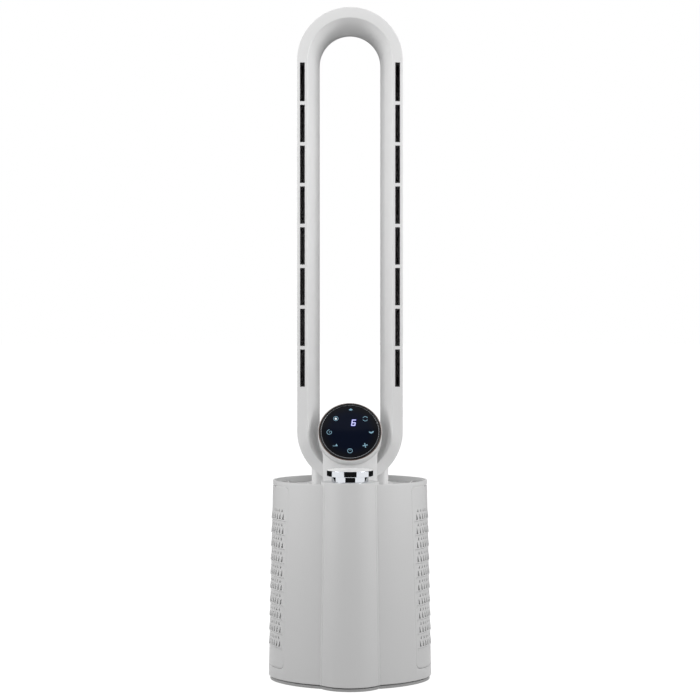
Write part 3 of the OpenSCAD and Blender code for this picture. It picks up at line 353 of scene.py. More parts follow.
# %% The finishes
white = plastic("satin_white", seen(228), 0.36, 0.44, tone=0.015)
base_white = plastic("satin_white_base", seen(225), 0.40, 0.50, tone=0.02)
grey = plastic("matt_grey", seen(186), 0.5, 0.6)
inner = plastic("inner_grey", seen(178, 180, 182), 0.5, 0.65, tone=0.06)
matt_black = plastic("matt_black", seen(34, 34, 36), 0.55, 0.7, bump=0.2)
slot_black = plastic("slot_black", seen(26), 0.6, 0.75, tone=0.1)
rubber = plastic("rubber", seen(30), 0.75, 0.9, grain=2200.0, bump=0.35)
natural = plastic("natural_acetal", seen(232, 226, 210), 0.35, 0.45)
gloss_black = plastic("gloss_black", seen(12, 12, 13), 0.12, 0.2, tone=0.0, bump=0.01)
chrome = metal("polished_chrome", seen(216, 219, 224), 0.04, 0.08, tone=0.02, per_metre=300.0, bump=0.004)
# The cap's top is satin chrome with a faint white emission. The emission is a painted highlight that stands
# in for an overhead light the scene has no lamp for.
cap_top_painted_highlight = metal("satin_cap_top_painted_highlight", seen(252), 0.42, 0.5, tone=0.01, per_metre=300.0, bump=0.01,
                Emission_Color=WHITE, Emission_Strength=0.3)
trim_metal = metal("satin_line", seen(150, 152, 156), 0.22, 0.3, tone=0.04)
steel = metal("plain_steel", seen(176, 178, 182), 0.28, 0.42)
case_metal = metal("painted_case", seen(92, 93, 98), 0.35, 0.5)
copper_line = metal("copper_line", seen(150, 118, 104), 0.4, 0.5, tone=0.05)
copper_wire = metal("wound_copper", seen(198, 122, 78), 0.3, 0.45, tone=0.35, per_metre=1600.0, bump=0.5)
media = finish("pleated_felt", felt, {"Colour": seen(236, 236, 232), "Shadow": seen(205, 205, 200)},
               bump=0.5, depth=0.0002, Roughness=0.9, Sheen_Weight=0.2)
lead_jacket = plastic("lead_jacket", seen(150, 104, 66), 0.4, 0.5)
ribbon = plastic("flat_cable", seen(228), 0.4, 0.5)
tank = plastic("clear_tank", seen(205, 224, 234), 0.05, 0.1, tone=0.0, bump=0.01,
               Transmission_Weight=0.9, IOR=1.49)
print("finishes:", len(bpy.data.materials))

# %% [markdown]
# A circuit board is green lacquer over copper. Small square cells stand for the chips and pads: a Voronoi
# texture with its straight Chebychev distance gives cells of that kind without a drawn layout.

# %% Board
CHIP_CELLS = 160.0
BOARD_BANDS = ((0.0, seen(38, 92, 62)), (0.45, seen(30, 80, 54)), (0.72, seen(34, 34, 36)),
               (0.86, seen(188, 158, 92)), (0.93, seen(40, 96, 64)))
board, tree, surface = start_material("circuit_board")
cells = add_node(tree, "ShaderNodeTexVoronoi", distance="CHEBYCHEV", Scale=CHIP_CELLS, Randomness=0.85)
ramp = add_node(tree, "ShaderNodeValToRGB")
ramp.color_ramp.interpolation = "CONSTANT"
for spot, colour in BOARD_BANDS:
    stop = ramp.color_ramp.elements.new(spot) if spot else ramp.color_ramp.elements[0]
    stop.position, stop.color = spot, colour
parts = add_node(tree, "ShaderNodeSeparateColor")
join(tree, (add_node(tree, "ShaderNodeTexCoord").outputs["Object"], cells.inputs["Vector"]),
     (cells.outputs["Color"], parts.inputs["Color"]), (parts.outputs["Red"], ramp.inputs["Fac"]),
     (ramp.outputs["Color"], surface.inputs["Base Color"]))
add_relief(tree, surface, parts.outputs["Red"], strength=0.3, depth=0.0004)
surface.inputs["Roughness"].default_value = 0.35

# %% [markdown]
# The touch face is black glass with a navy glow towards its middle. The glow depends on the distance from
# the face's centre, so it is painted by a distance in Object coordinates.

# %% Glass of the display
POD_LEAN = 28.0
POD_Y, POD_Z = -9 * MM, 399.6 * MM
POD_PLACE = (Matrix.Translation((0.0, POD_Y, POD_Z))
             @ Matrix.Rotation(math.radians(90 - POD_LEAN), 4, "X"))
GLASS_R = 46.0 * MM
NAVY_SHARE = 0.6
glass, tree, surface = start_material("navy_glass")
place = add_node(tree, "ShaderNodeTexCoord").outputs["Object"]
reach = add_node(tree, "ShaderNodeVectorMath", operation="DISTANCE")
reach.inputs[1].default_value = POD_PLACE.translation
fall = add_node(tree, "ShaderNodeMapRange", From_Min=NAVY_SHARE * GLASS_R, From_Max=GLASS_R,
                interpolation_type="SMOOTHSTEP")
navy = add_node(tree, "ShaderNodeMix", data_type="RGBA")
navy.inputs["A"].default_value = seen(13, 18, 32)
navy.inputs["B"].default_value = seen(22, 23, 26)
smear = add_node(tree, "ShaderNodeTexNoise", Scale=55.0, Detail=4.0, Distortion=1.2)
join(tree, (place, reach.inputs[0]), (reach.outputs["Value"], fall.inputs["Value"]),
     (fall.outputs["Result"], navy.inputs["Factor"]), (navy.outputs["Result"], surface.inputs["Base Color"]),
     (place, smear.inputs["Vector"]),
     (spread(tree, smear.outputs["Fac"], 0.05, 0.14), surface.inputs["Roughness"]))
surface.inputs["Specular IOR Level"].default_value = 0.05


# %% Lit signs
def lit_paint(name, colour, strength):
    made, _, surface = start_material(name)
    for label, value in (("Base Color", seen(40, 44, 52)), ("Roughness", 0.4), ("Emission Color", colour),
                         ("Emission Strength", strength)):
        surface.inputs[label].default_value = value
    return made


sign_light = lit_paint("key_sign_light", seen(132, 176, 196), 0.85)
lamp_light = lit_paint("bright_sign_light", seen(236, 246, 250), 0.95)
digit_light = lit_paint("digit_light", seen(214, 216, 255), 1.1)
halo_light = lit_paint("digit_halo", seen(24, 20, 150), 0.9)
print("materials:", len(bpy.data.materials))


# %% [markdown]
# CAD edges are razor sharp, and real mouldings have a small radius that catches light. A copy of the CAD
# mesh is merged, its flat triangles are joined into whole faces, and its sharp edges get a narrow round
# bevel. A Bevel shader would only pretend, and the exported mesh would lose it.

# %% Helpers for pieces
SHARP_ANGLE, RIM_ANGLE = 32.0, 50.0
FACING = 0.99
COPLANAR = math.radians(0.3)
MERGE = 2e-6
HEAD, BASE, SHELL = "head", "base", "shell_white"
BODY_OF = {n: b for b, names in frame["record"]["behaviour"]["bodies"].items() for n in names}


def shade(mesh):
    """Smooth faces with sharp edges where the surface turns by more than the sharp angle."""
    mesh.polygons.foreach_set("use_smooth", [True] * len(mesh.polygons))
    mesh.set_sharp_from_angle(angle=math.radians(SHARP_ANGLE))


def piece(bm, name, body, paint, nodes=()):
    """Turns a bmesh into a finished object that rides on a body and stands for the named nodes."""
    mesh = mesh_of(bm, name)
    shade(mesh)
    mesh.materials.append(paint)
    made = link(bpy.data.objects.new(name, mesh))
    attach(made, body)
    if nodes:
        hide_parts(*nodes)
    return made


def merge(bm, near=MERGE):
    bmesh.ops.remove_doubles(bm, verts=bm.verts, dist=near)


def cut(bm, faces):
    bmesh.ops.delete(bm, geom=faces, context="FACES")


def sharp_edges(bm, degrees):
    return [e for e in bm.edges if e.is_manifold and e.calc_face_angle(0.0) > math.radians(degrees)]


def rounded(bm, geom, width, steps=2, affect="EDGES"):
    return bmesh.ops.bevel(bm, geom=geom, offset=width, offset_type="OFFSET", segments=steps, profile=0.5,
                           affect=affect, clamp_overlap=True, material=-1)


def softened(node, paint, width, steps=2):
    """A copy of a CAD node with its sharp edges rounded."""
    bm = bmesh.new()
    bm.from_mesh(frame["nodes"][node].data)
    merge(bm)
    bmesh.ops.dissolve_limit(bm, angle_limit=COPLANAR, use_dissolve_boundaries=False,
                             verts=bm.verts, edges=bm.edges)
    found = sharp_edges(bm, SHARP_ANGLE)
    rounded(bm, found, width, steps)
    print(node, "rounded edges:", len(found), "faces:", len(bm.faces))
    return piece(bm, node + "_soft", BODY_OF[node], paint, (node,))


def thicken(obj, wall, edge=0.0):
    """Gives an open skin its wall, rounds the wall's edges, and keeps the result as the mesh."""
    solid = obj.modifiers.new("wall", "SOLIDIFY")
    solid.thickness = wall
    solid.offset = -1.0
    solid.use_even_offset = True
    if edge:
        soft = obj.modifiers.new("edge", "BEVEL")
        soft.width = edge
        soft.segments = 2
        soft.limit_method = "ANGLE"
        soft.angle_limit = math.radians(RIM_ANGLE)
    graph = bpy.context.evaluated_depsgraph_get()
    made = bpy.data.meshes.new_from_object(obj.evaluated_get(graph))
    obj.modifiers.clear()
    obj.data = made
    made.name = obj.name
    shade(made)


def face_outwards(bm, probe, want):
    """Recalculates normals, and turns them all if the face nearest to probe looks away from want."""
    bmesh.ops.recalc_face_normals(bm, faces=bm.faces)
    nearest = min(bm.faces, key=lambda f: (f.calc_center_median() - Vector(probe)).length)
    nearest.normal_update()
    if nearest.normal.dot(Vector(want)) < 0:
        bmesh.ops.reverse_faces(bm, faces=bm.faces)


# %% [markdown]
# The loop is one section carried round a long oval: half a turn over the top, down a straight side, half
# a turn below and up again. Spin makes the arcs and extrude makes the straight sides, so every ring of
# the mesh lines up with the slots. The slots are faces of that mesh: each is inset a little, its corners
# are rounded and it is taken out, before the skin gets its wall.

# %% Sizes of the loop
LOOP_Y = -4 * MM
LOOP_R, RIDGE_R, BORE_R = 85 * MM, 68 * MM, 50 * MM
LOOP_LOW, LOOP_HIGH = 400 * MM, 995 * MM
THROAT_D, LOOP_D, SEAM_D = 60 * MM, 102 * MM, 12 * MM
LOOP_WALL = 3 * MM
SLOT_X, SLOT_W, SLOT_L, SLOT_PITCH, SLOTS = 76.35 * MM, 7.7 * MM, 60 * MM, 65.4 * MM, 8
SLOT_TOP, SLOT_EXTRA = 989.2 * MM, 2.2 * MM
SLOT_CORNER, INSET = 1.2 * MM, 0.2 * MM
ARC_STEPS = 56
ON_LINE = 1e-5
slot_ends = [(SLOT_TOP - i * SLOT_PITCH + (0 if i else SLOT_EXTRA), SLOT_TOP - i * SLOT_PITCH - SLOT_L)
             for i in range(SLOTS)]


def only(kind, found):
    return [g for g in found if isinstance(g, kind)]


def carried_round(section, levels):
    """A skin: the section's (radius, depth) points carried round the loop, with rings at levels."""
    bm = bmesh.new()
    line = [bm.verts.new((r, LOOP_Y + d, LOOP_HIGH)) for r, d in section]
    ring = line + [bm.edges.new(pair) for pair in zip(line, line[1:])]
    for centre, stops in ((LOOP_HIGH, [*levels, LOOP_LOW]), (LOOP_LOW, [*reversed(levels), LOOP_HIGH])):
        ring = bmesh.ops.spin(bm, geom=ring, cent=(0, 0, centre), axis=(0, -1, 0), angle=math.pi,
                              steps=ARC_STEPS, use_duplicate=False)["geom_last"]
        for stop in stops:
            ring = bmesh.ops.extrude_edge_only(bm, edges=only(bmesh.types.BMEdge, ring))["geom"]
            corners = only(bmesh.types.BMVert, ring)
            ring = corners + only(bmesh.types.BMEdge, ring)
            for corner in corners:
                corner.co.z = stop
    merge(bm)
    return bm


def loop_radius(point):
    middle = min(max(point.z, LOOP_LOW), LOOP_HIGH)
    return math.hypot(point.x, point.z - middle)


def along_loop(bm, radius, depth):
    """The edges that run round the loop at that radius and depth."""
    def on_line(v):
        return abs(loop_radius(v.co) - radius) < ON_LINE and abs(v.co.y - LOOP_Y - depth) < ON_LINE
    return [e for e in bm.edges if all(on_line(v) for v in e.verts)]


# %% Front half with its slots
PROBE_Z, NEAR = 0.7, 0.3 * MM
FRONT_ROUND, RIDGE_ROUND, WALL_ROUND = 1.3 * MM, 0.9 * MM, 0.3 * MM
half_slot = SLOT_W / 2 + INSET
front_section = [(LOOP_R, SEAM_D), (LOOP_R, 0.0), (SLOT_X + half_slot, 0.0), (SLOT_X - half_slot, 0.0),
                 (RIDGE_R, 0.0), (BORE_R, THROAT_D)]
levels = [z for top, bottom in slot_ends for z in (top + INSET, bottom - INSET)]
bm = carried_round(front_section, levels)
face_outwards(bm, (SLOT_X, LOOP_Y, PROBE_Z), (0, -1, 0))


def slot_faces(bm):
    """The faces of the front that lie on a slot's middle."""
    found = []
    for f in bm.faces:
        c = f.calc_center_median()
        in_line = abs(abs(c.x) - SLOT_X) < NEAR and abs(c.y - LOOP_Y) < ON_LINE and f.normal.y < -FACING
        if in_line and any(abs(c.z - (top + bottom) / 2) < 1 * MM for top, bottom in slot_ends):
            found.append(f)
    return found


bmesh.ops.inset_individual(bm, faces=slot_faces(bm), thickness=INSET, use_even_offset=True)
corners = dict.fromkeys(v for f in slot_faces(bm) for v in f.verts)
rounded(bm, list(corners), SLOT_CORNER, 4, "VERTICES")
mouths = slot_faces(bm)
cut(bm, mouths)
rounded(bm, along_loop(bm, LOOP_R, 0.0), FRONT_ROUND, 4)
rounded(bm, along_loop(bm, RIDGE_R, 0.0), RIDGE_ROUND, 3)
print("slots cut:", len(mouths), "loop front faces:", len(bm.faces))
loop_front = piece(bm, "loop_front_skin", HEAD, white, ("loop_front",))
thicken(loop_front, LOOP_WALL, edge=WALL_ROUND)

# %% Rear half, with the port that lets the air in from the stem
PORT_HALF, PORT_FRONT, PORT_BACK = 42 * MM, 18 * MM, 70 * MM
REAR_ROUND = 4 * MM
rear_section = [(LOOP_R, SEAM_D), (LOOP_R, PORT_FRONT), (LOOP_R, PORT_BACK), (LOOP_R, LOOP_D),
                (BORE_R, LOOP_D), (BORE_R, THROAT_D)]
bm = carried_round(rear_section, [])
face_outwards(bm, (LOOP_R, LOOP_Y + LOOP_D / 3, PROBE_Z), (1, 0, 0))
port = []
for f in bm.faces:
    c = f.calc_center_median()
    below = c.z < LOOP_LOW and abs(c.x) < PORT_HALF and loop_radius(c) > LOOP_R - 1 * MM
    if below and PORT_FRONT < c.y - LOOP_Y < PORT_BACK:
        port.append(f)
cut(bm, port)
for radius in (LOOP_R, BORE_R):
    rounded(bm, along_loop(bm, radius, LOOP_D), REAR_ROUND, 5)
print("port faces:", len(port), "loop rear faces:", len(bm.faces))
loop_rear = piece(bm, "loop_rear_skin", HEAD, white, ("loop_rear",))
thicken(loop_rear, LOOP_WALL, edge=WALL_ROUND)

# %% [markdown]
# The stem, the pedestal and the turntable are plain mouldings, so their CAD shape only needs a soft edge.

# %% Stem, pedestal and turntable
SOFT_EDGES = {"stem_front": (0.8, 3), "stem_rear": (0.8, 3), "pedestal": (0.7, 3), "turntable": (0.5, 2)}
for node, (width, steps) in SOFT_EDGES.items():
    softened(node, white, width * MM, steps)

# %% [markdown]
# The display is a stack of turned rings round a glass disc. A turned piece is a short profile spun once
# round its own axis, then laid onto the display's leaning face by a matrix.


# %% Turned pieces
TURN_STEPS = 96
ON_RING = 1e-6


def ring_edges(bm, radius, height):
    """The edges of a turned piece that run round it at that radius and height."""
    def on_ring(v):
        return abs(math.hypot(v.co.x, v.co.y) - radius) < ON_RING and abs(v.co.z - height) < ON_RING
    return [e for e in bm.edges if all(on_ring(v) for v in e.verts)]


def turned(name, body, paint, node, place, profile, rounds, open_profile=False):
    """A solid of revolution from (radius, height) points, with (radius, height, width, steps) rounds."""
    bm = bmesh.new()
    line = [bm.verts.new((r, 0.0, z)) for r, z in profile]
    ends = zip(line, line[1:] if open_profile else line[1:] + line[:1])
    ring = line + [bm.edges.new(pair) for pair in ends]
    bmesh.ops.spin(bm, geom=ring, cent=(0, 0, 0), axis=(0, 0, 1), angle=2 * math.pi, steps=TURN_STEPS,
                   use_merge=True, use_duplicate=False)
    merge(bm)
    bmesh.ops.recalc_face_normals(bm, faces=bm.faces)
    for radius, height, width, steps in rounds:
        rounded(bm, ring_edges(bm, radius, height), width, steps)
    bmesh.ops.transform(bm, matrix=place, verts=bm.verts)
    print(name, "faces:", len(bm.faces))
    return piece(bm, name, body, paint, (node,))


# %% Black bezel, silver line and glass
FACE_R, HAIR_W, BEZEL_W, RING_T = 50.3 * MM, 0.4 * MM, 3.1 * MM, 3 * MM
BEZEL_PROUD, TRIM_PROUD = 0.9 * MM, 0.35 * MM
BEZEL_OUTER_ROUND, BEZEL_INNER_ROUND, TRIM_ROUND = 1.3 * MM, 0.8 * MM, 0.25 * MM
GLASS_T, GLASS_GAP, GLASS_ROUND = 2 * MM, 0.05 * MM, 0.4 * MM
POD_ROUND = 0.35 * MM
bezel_out, bezel_in, disc_r = FACE_R - HAIR_W, FACE_R - HAIR_W - BEZEL_W, GLASS_R - GLASS_GAP
turned("bezel_ring_round", HEAD, gloss_black, "bezel_ring", POD_PLACE,
       [(bezel_in, -RING_T), (bezel_out, -RING_T), (bezel_out, BEZEL_PROUD), (bezel_in, BEZEL_PROUD)],
       [(bezel_out, BEZEL_PROUD, BEZEL_OUTER_ROUND, 6), (bezel_in, BEZEL_PROUD, BEZEL_INNER_ROUND, 5)])
turned("trim_ring_round", HEAD, trim_metal, "trim_ring", POD_PLACE,
       [(GLASS_R, -RING_T), (bezel_in, -RING_T), (bezel_in, TRIM_PROUD), (GLASS_R, TRIM_PROUD)],
       [(GLASS_R, TRIM_PROUD, TRIM_ROUND, 3)])
turned("touch_glass_disc", HEAD, glass, "touch_glass", POD_PLACE,
       [(0.0, 0.0), (disc_r, 0.0), (disc_r, -GLASS_T), (0.0, -GLASS_T)],
       [(disc_r, 0.0, GLASS_ROUND, 3)], open_profile=True)
softened("pod_housing", white, POD_ROUND, 3)

# %% [markdown]
# The keys are printed signs that light up under the glass. They are drawn here from rings, bars and discs,
# as plain as signs on any such fan: a lamp, a turning arrow, a leaf, a fan, a switch, a slope, a clock
# and a glow. The lit number is built from the bars of a seven-bar display.

# %% Flat strokes
SIGN_T, SIGN_Z = 0.12 * MM, 0.02 * MM
DISC_STEPS, ARC_STEP, FEWEST = 24, 9, 6


def laid(bm, verts, u, v, turn=0.0):
    """Turns new flat parts about Z by degrees and moves them to (u, v) millimetres on the face."""
    move = Matrix.Translation((u * MM, v * MM, 0.0)) @ Matrix.Rotation(math.radians(turn), 4, "Z")
    bmesh.ops.transform(bm, matrix=move, verts=verts)


def disc(bm, u, v, wide, high=None, turn=0.0):
    made = bmesh.ops.create_circle(bm, cap_ends=True, radius=1.0, segments=DISC_STEPS)["verts"]
    bmesh.ops.scale(bm, vec=(wide / 2 * MM, (high or wide) / 2 * MM, 1.0), verts=made)
    laid(bm, made, u, v, turn)


def bar(bm, u, v, length, thick, turn=0.0, narrow=1.0):
    """A bar along its own X, narrowed at its far end."""
    made = bmesh.ops.create_grid(bm, x_segments=1, y_segments=1, size=0.5)["verts"]
    for corner in made:
        if corner.co.x > 0:
            corner.co.y *= narrow
    bmesh.ops.scale(bm, vec=(length * MM, thick * MM, 1.0), verts=made)
    laid(bm, made, u, v, turn)


def arc(bm, u, v, radius, thick, start, sweep):
    """Part of a ring, from the angle start through sweep degrees."""
    a = math.radians(start)
    ends = [bm.verts.new((r * MM * math.cos(a), r * MM * math.sin(a), 0.0))
            for r in (radius - thick / 2, radius + thick / 2)]
    strip = [*ends, bm.edges.new(ends)]
    before = set(bm.verts) - set(ends)
    bmesh.ops.spin(bm, geom=strip, cent=(0, 0, 0), axis=(0, 0, 1), angle=math.radians(sweep),
                   steps=max(FEWEST, int(sweep / ARC_STEP)), use_merge=sweep >= 360, use_duplicate=False)
    laid(bm, [corner for corner in bm.verts if corner not in before], u, v)


def signs(bm, name, paint):
    """Gives flat strokes their thickness and lays them on the face."""
    merge(bm, ON_RING)
    for f in bm.faces:
        if f.normal.z < 0:
            f.normal_flip()
    grown = bmesh.ops.extrude_face_region(bm, geom=bm.faces[:], use_keep_orig=True)["geom"]
    bmesh.ops.translate(bm, vec=(0, 0, SIGN_T), verts=only(bmesh.types.BMVert, grown))
    bmesh.ops.recalc_face_normals(bm, faces=bm.faces)
    bmesh.ops.translate(bm, vec=(0, 0, SIGN_Z), verts=bm.verts)
    bmesh.ops.transform(bm, matrix=POD_PLACE, verts=bm.verts)
    return piece(bm, name, HEAD, paint, ())


# %% The eight key signs: a shape, its place on the face, then its sizes and angles
STROKE = 0.8
FAN_U, FAN_V, FAN_REACH, FAN_TURN = 24.2, -24.2, 2.0, 12
BLADE_LONG, BLADE_WIDE, BLADE_FLARE = 3.8, 0.9, 2.2
GLOW_SPOT = (-22.8, 22.7, 3.6)
STROKES = [
    (disc, 1.2, 38.6, 6.0, 2.3), (disc, 1.2, 39.7, 2.8, 2.1),
    (arc, 24.5, 22.7, 3.9, STROKE, 24, 132), (arc, 24.5, 22.7, 3.9, STROKE, 204, 132),
    (disc, 32.9, -1.7, 5.9, 2.2, -28), (disc, 35.6, -1.3, 6.1, 2.4, 34),
]
for turn in range(FAN_TURN, 360, 90):
    angle = math.radians(turn)
    STROKES.append((bar, FAN_U + FAN_REACH * math.cos(angle), FAN_V + FAN_REACH * math.sin(angle),
                    BLADE_LONG, BLADE_WIDE, turn, BLADE_FLARE))
STROKES += [
    (arc, 0.0, -33.7, 3.8, STROKE, 0, 360), (bar, 0.0, -32.2, 2.8, STROKE, 90),
    (bar, -23.7, -25.2, 7.8, STROKE, 0), (bar, -21.7, -23.5, 3.4, 3.4, 90, 0.25),
    (arc, -33.3, -0.9, 3.8, STROKE, 80, 310), (bar, -32.4, 0.0, 3.2, STROKE, 45),
    (arc, -22.8, 23.0, 3.7, 0.7, 0, 360),
]
bm = bmesh.new()
for draw, *numbers in STROKES:
    draw(bm, *numbers)
signs(bm, "key_signs", sign_light)
bm = bmesh.new()
disc(bm, *GLOW_SPOT)
signs(bm, "glow_sign", lamp_light)
print("strokes:", len(STROKES) + 1)


# %% The lit number, a six
DIGIT_U, DIGIT_V, DIGIT_W, DIGIT_H, DIGIT_SLANT = 5.8, 15.6, 5.2, 9.6, 0.14
HALO_STROKE, DIGIT_STROKE = 2.9, 1.3
SIX = ((0, 1, 0), (-0.5, 0.5, 90), (0, 0, 0), (-0.5, -0.5, 90), (0.5, -0.5, 90), (0, -1, 0))


def draw_six(thick, lift=0.0):
    bm = bmesh.new()
    for across, up, turn in SIX:
        length = DIGIT_H / 2 if turn else DIGIT_W
        bar(bm, across * DIGIT_W, up * DIGIT_H / 2, length, thick, turn)
        for end in (-length / 2, length / 2):
            du, dv = (0.0, end) if turn else (end, 0.0)
            disc(bm, across * DIGIT_W + du, up * DIGIT_H / 2 + dv, thick)
    for corner in bm.verts:
        corner.co.x += corner.co.y * DIGIT_SLANT
    bmesh.ops.translate(bm, vec=(DIGIT_U * MM, DIGIT_V * MM, lift), verts=bm.verts)
    return bm


signs(draw_six(HALO_STROKE), "digit_halo", halo_light)
signs(draw_six(DIGIT_STROKE, lift=SIGN_T), "lit_digit", digit_light)

# %% [markdown]
# The chrome cap is what lifts the canister out. It is a thick turned disc with a small round at its rims,
# on a neck that is narrower, so fingers fit under it. Polished chrome needs a true round edge, because
# the edge's thin white line is most of what one sees of it.

# %% Chrome cap and neck
TANK_PLACE = Matrix.Translation((0.0, -75.5 * MM, 0.0))
CAP_R, CAP_LOW, CAP_HIGH = 36.7 * MM, 333.6 * MM, 343 * MM
NECK_R, NECK_IN, NECK_LOW = 29.2 * MM, 26.2 * MM, 324.3 * MM
KEEP_FLAT = 1.1 * MM
CAP_ROUND, FOOT_ROUND, LID_ROUND = 0.6 * MM, 0.4 * MM, 0.3 * MM
cap = turned("chrome_cap_polished", "canister", chrome, "chrome_cap", TANK_PLACE,
             [(0.0, CAP_HIGH), (CAP_R - KEEP_FLAT, CAP_HIGH), (CAP_R, CAP_HIGH),
              (CAP_R, CAP_HIGH - KEEP_FLAT), (CAP_R, CAP_LOW + KEEP_FLAT), (CAP_R, CAP_LOW),
              (CAP_R - KEEP_FLAT, CAP_LOW), (0.0, CAP_LOW)],
             [(CAP_R, CAP_HIGH, CAP_ROUND, 5), (CAP_R, CAP_LOW, FOOT_ROUND, 4)], open_profile=True)
# The faces that look up take the satin top finish, whose emission is a painted highlight.
cap.data.materials.append(cap_top_painted_highlight)
for face in cap.data.polygons:
    if face.normal.z > FACING:
        face.material_index = 1
turned("chrome_neck_polished", "canister", chrome, "chrome_neck", TANK_PLACE,
       [(NECK_R, CAP_LOW), (NECK_R, NECK_LOW + KEEP_FLAT), (NECK_R, NECK_LOW), (NECK_IN, NECK_LOW),
        (NECK_IN, CAP_LOW)], [(NECK_R, NECK_LOW, FOOT_ROUND, 4)])
softened("tank_lid", base_white, LID_ROUND)

# %% [markdown]
# The base is a drawn-in oval with a round column let into its front. The eye follows its outline over the
# whole front, so the housings are built again as even sheets of quads, which shade without a ripple. Four
# arcs make the oval, and each height has its own inset, because the walls lean in by a little over one
# degree. The deck inside the rim and the foot plate only get soft edges.

# %% The outline at any height, in millimetres from the middle of the oval
BASE_HALF, END_R, HALF_D, FLARE = 131.3, 95.0, 115.0, 7.3
BODY_Z, RIM_Z, ROOF_Z, OVAL_Y = 7.0, 321.3, 324.3, 10.0
END_X = BASE_HALF - END_R
LONG_R = (END_X**2 + HALF_D**2 - END_R**2) / (2 * (HALF_D - END_R))
LONG_Y = LONG_R - HALF_D
JOIN = math.atan2(LONG_Y, END_X)
COLUMN_Y, COLUMN_R = -82.0, 53.0
WALL = 3.0


def draw_in(z):
    return FLARE * (z - BODY_Z) / (RIM_Z - BODY_Z)


def side_x(y, inset):
    """How far out the side lies at y."""
    if abs(y) <= (END_R - inset) * math.sin(JOIN):
        return END_X + math.sqrt((END_R - inset) ** 2 - y * y)
    return math.sqrt((LONG_R - inset) ** 2 - (abs(y) + LONG_Y) ** 2)


def junction(inset):
    """Where the column leaves the oval: its angle on the column and on the long arc."""
    long_r, column_r, between = LONG_R - inset, COLUMN_R - inset, LONG_Y - COLUMN_Y
    ahead = (long_r**2 - column_r**2 - between**2) / (2 * between)
    x = math.sqrt(column_r**2 - ahead**2)
    return math.atan2(x, ahead), math.atan2(x, between + ahead)


# %% A sheet from a point function
def sheet(bm, columns, rows, point, gone):
    """Adds a grid to bm whose corners come from point, without the cells for which gone is true."""
    wide, high = len(columns), len(rows)
    corners = bmesh.ops.create_grid(bm, x_segments=wide - 1, y_segments=high - 1, size=1.0)["verts"]
    index = {v: (round((v.co.x + 1) / 2 * (wide - 1)), round((v.co.y + 1) / 2 * (high - 1)))
             for v in corners}
    for v, (i, j) in index.items():
        v.co = Vector(point(columns[i], rows[j])) * MM
    lost = []
    for f in dict.fromkeys(f for v in corners for f in v.link_faces):
        i, j = (min(index[v][axis] for v in f.verts) for axis in (0, 1))
        if gone(columns[i], columns[i + 1], rows[j], rows[j + 1]):
            lost.append(f)
    cut(bm, lost)
    return len(lost)


# %% [markdown]
# A quarter of the oval runs from the seam of the two housings to the column or to the middle of the back.
# Its first lines stand at fixed distances, so that the opening for the side cover falls on them, and its
# heights bend round the opening's corners. The rest are shares of the way that is left.

# %% A quarter of the oval wall
SEAM = 20.0
OPEN_HALF, OPEN_CORNER, OPEN_LOW, OPEN_HIGH = 65.0, 9.0, 24.0, 314.3
FADE_END = 75.0
INLET_HALF, INLET_LOW, INLET_HIGH = 9.8, 24.0, 36.3
CORNER_LINES = (56.0, 58.0, 60.0, 61.7, 63.0, 64.0, 64.7, OPEN_HALF, 66.0, 68.0, 71.0, FADE_END)
PLAIN_HEIGHTS = (60.0, 120.0, 180.0, 240.0, 290.0)
HEIGHTS = (BODY_Z, 9.0, 14.0, OPEN_LOW, INLET_HIGH, *PLAIN_HEIGHTS, OPEN_HIGH, 317.5, RIM_Z)
FAR_LINES = 12
# the angle by which the long arc runs on under the column, in radians
TUCK = 0.008


def corner_rise(y):
    """How far the opening's low edge has risen at y, on the way round its corner."""
    past = abs(y) - (OPEN_HALF - OPEN_CORNER)
    if past <= 0.0:
        return 0.0
    if past <= OPEN_CORNER:
        return OPEN_CORNER - math.sqrt(OPEN_CORNER**2 - past**2)
    share = min(1.0, (abs(y) - OPEN_HALF) / (FADE_END - OPEN_HALF))
    return OPEN_CORNER * (1.0 - share) ** 2 * (1.0 + 2.0 * share)


def quarter_columns(back):
    """The lines of a quarter: a distance from the middle, or a share of the way after the last of them."""
    first, count = (SEAM, 5) if back else (-SEAM, 11)
    even = [first + (CORNER_LINES[0] - first) * i / count for i in range(count)]
    near = [("at", y) for y in (*even, *CORNER_LINES)]
    far = [("share", i / FAR_LINES) for i in range(1, FAR_LINES + 1)]
    if back:
        far[-2] = ("inlet", 0.0)
    return near + far


def quarter_point(side, back):
    """The point function of a quarter of the wall."""
    facing = 1.0 if back else -1.0

    def place(column, z):
        kind, value = column
        if kind == "at" and z in (OPEN_LOW, OPEN_HIGH):
            z += corner_rise(value) * (1 if z == OPEN_LOW else -1)
        inset = draw_in(z)
        if kind == "at":
            return side * side_x(value, inset), facing * value + OVAL_Y, z
        start = math.acos((FADE_END + LONG_Y) / (LONG_R - inset))
        end = 0.0 if back else junction(inset)[1] - TUCK
        turn = start + (end - start) * value
        if kind == "inlet":
            turn = math.asin(INLET_HALF / (LONG_R - inset))
        return (side * (LONG_R - inset) * math.sin(turn),
                facing * ((LONG_R - inset) * math.cos(turn) - LONG_Y) + OVAL_Y, z)
    return place


def in_opening(left, right, low, high):
    """True for the cells that the side cover or the mains inlet takes up."""
    beside = left[0] == "at" and right[0] == "at" and abs(right[1]) <= OPEN_HALF
    at_inlet = left[0] == "inlet" and low >= INLET_LOW and high <= INLET_HIGH
    return at_inlet or (beside and low >= OPEN_LOW and high <= OPEN_HIGH)


def round_where(obj, rules):
    """Rounds the sharp edges of a finished piece by the width of the first rule that fits."""
    bm = bmesh.new()
    bm.from_mesh(obj.data)
    taken = set()
    for fits, width, steps in rules:
        chosen = [e for e in sharp_edges(bm, RIM_ANGLE)
                  if all(fits(v.co) for v in e.verts) and e not in taken]
        taken.update(e for f in rounded(bm, chosen, width, steps)["faces"] for e in f.edges)
    bm.to_mesh(obj.data)
    bm.free()
    shade(obj.data)


AT_RIM, AT_SEAM = 0.05 * MM, 0.2 * MM


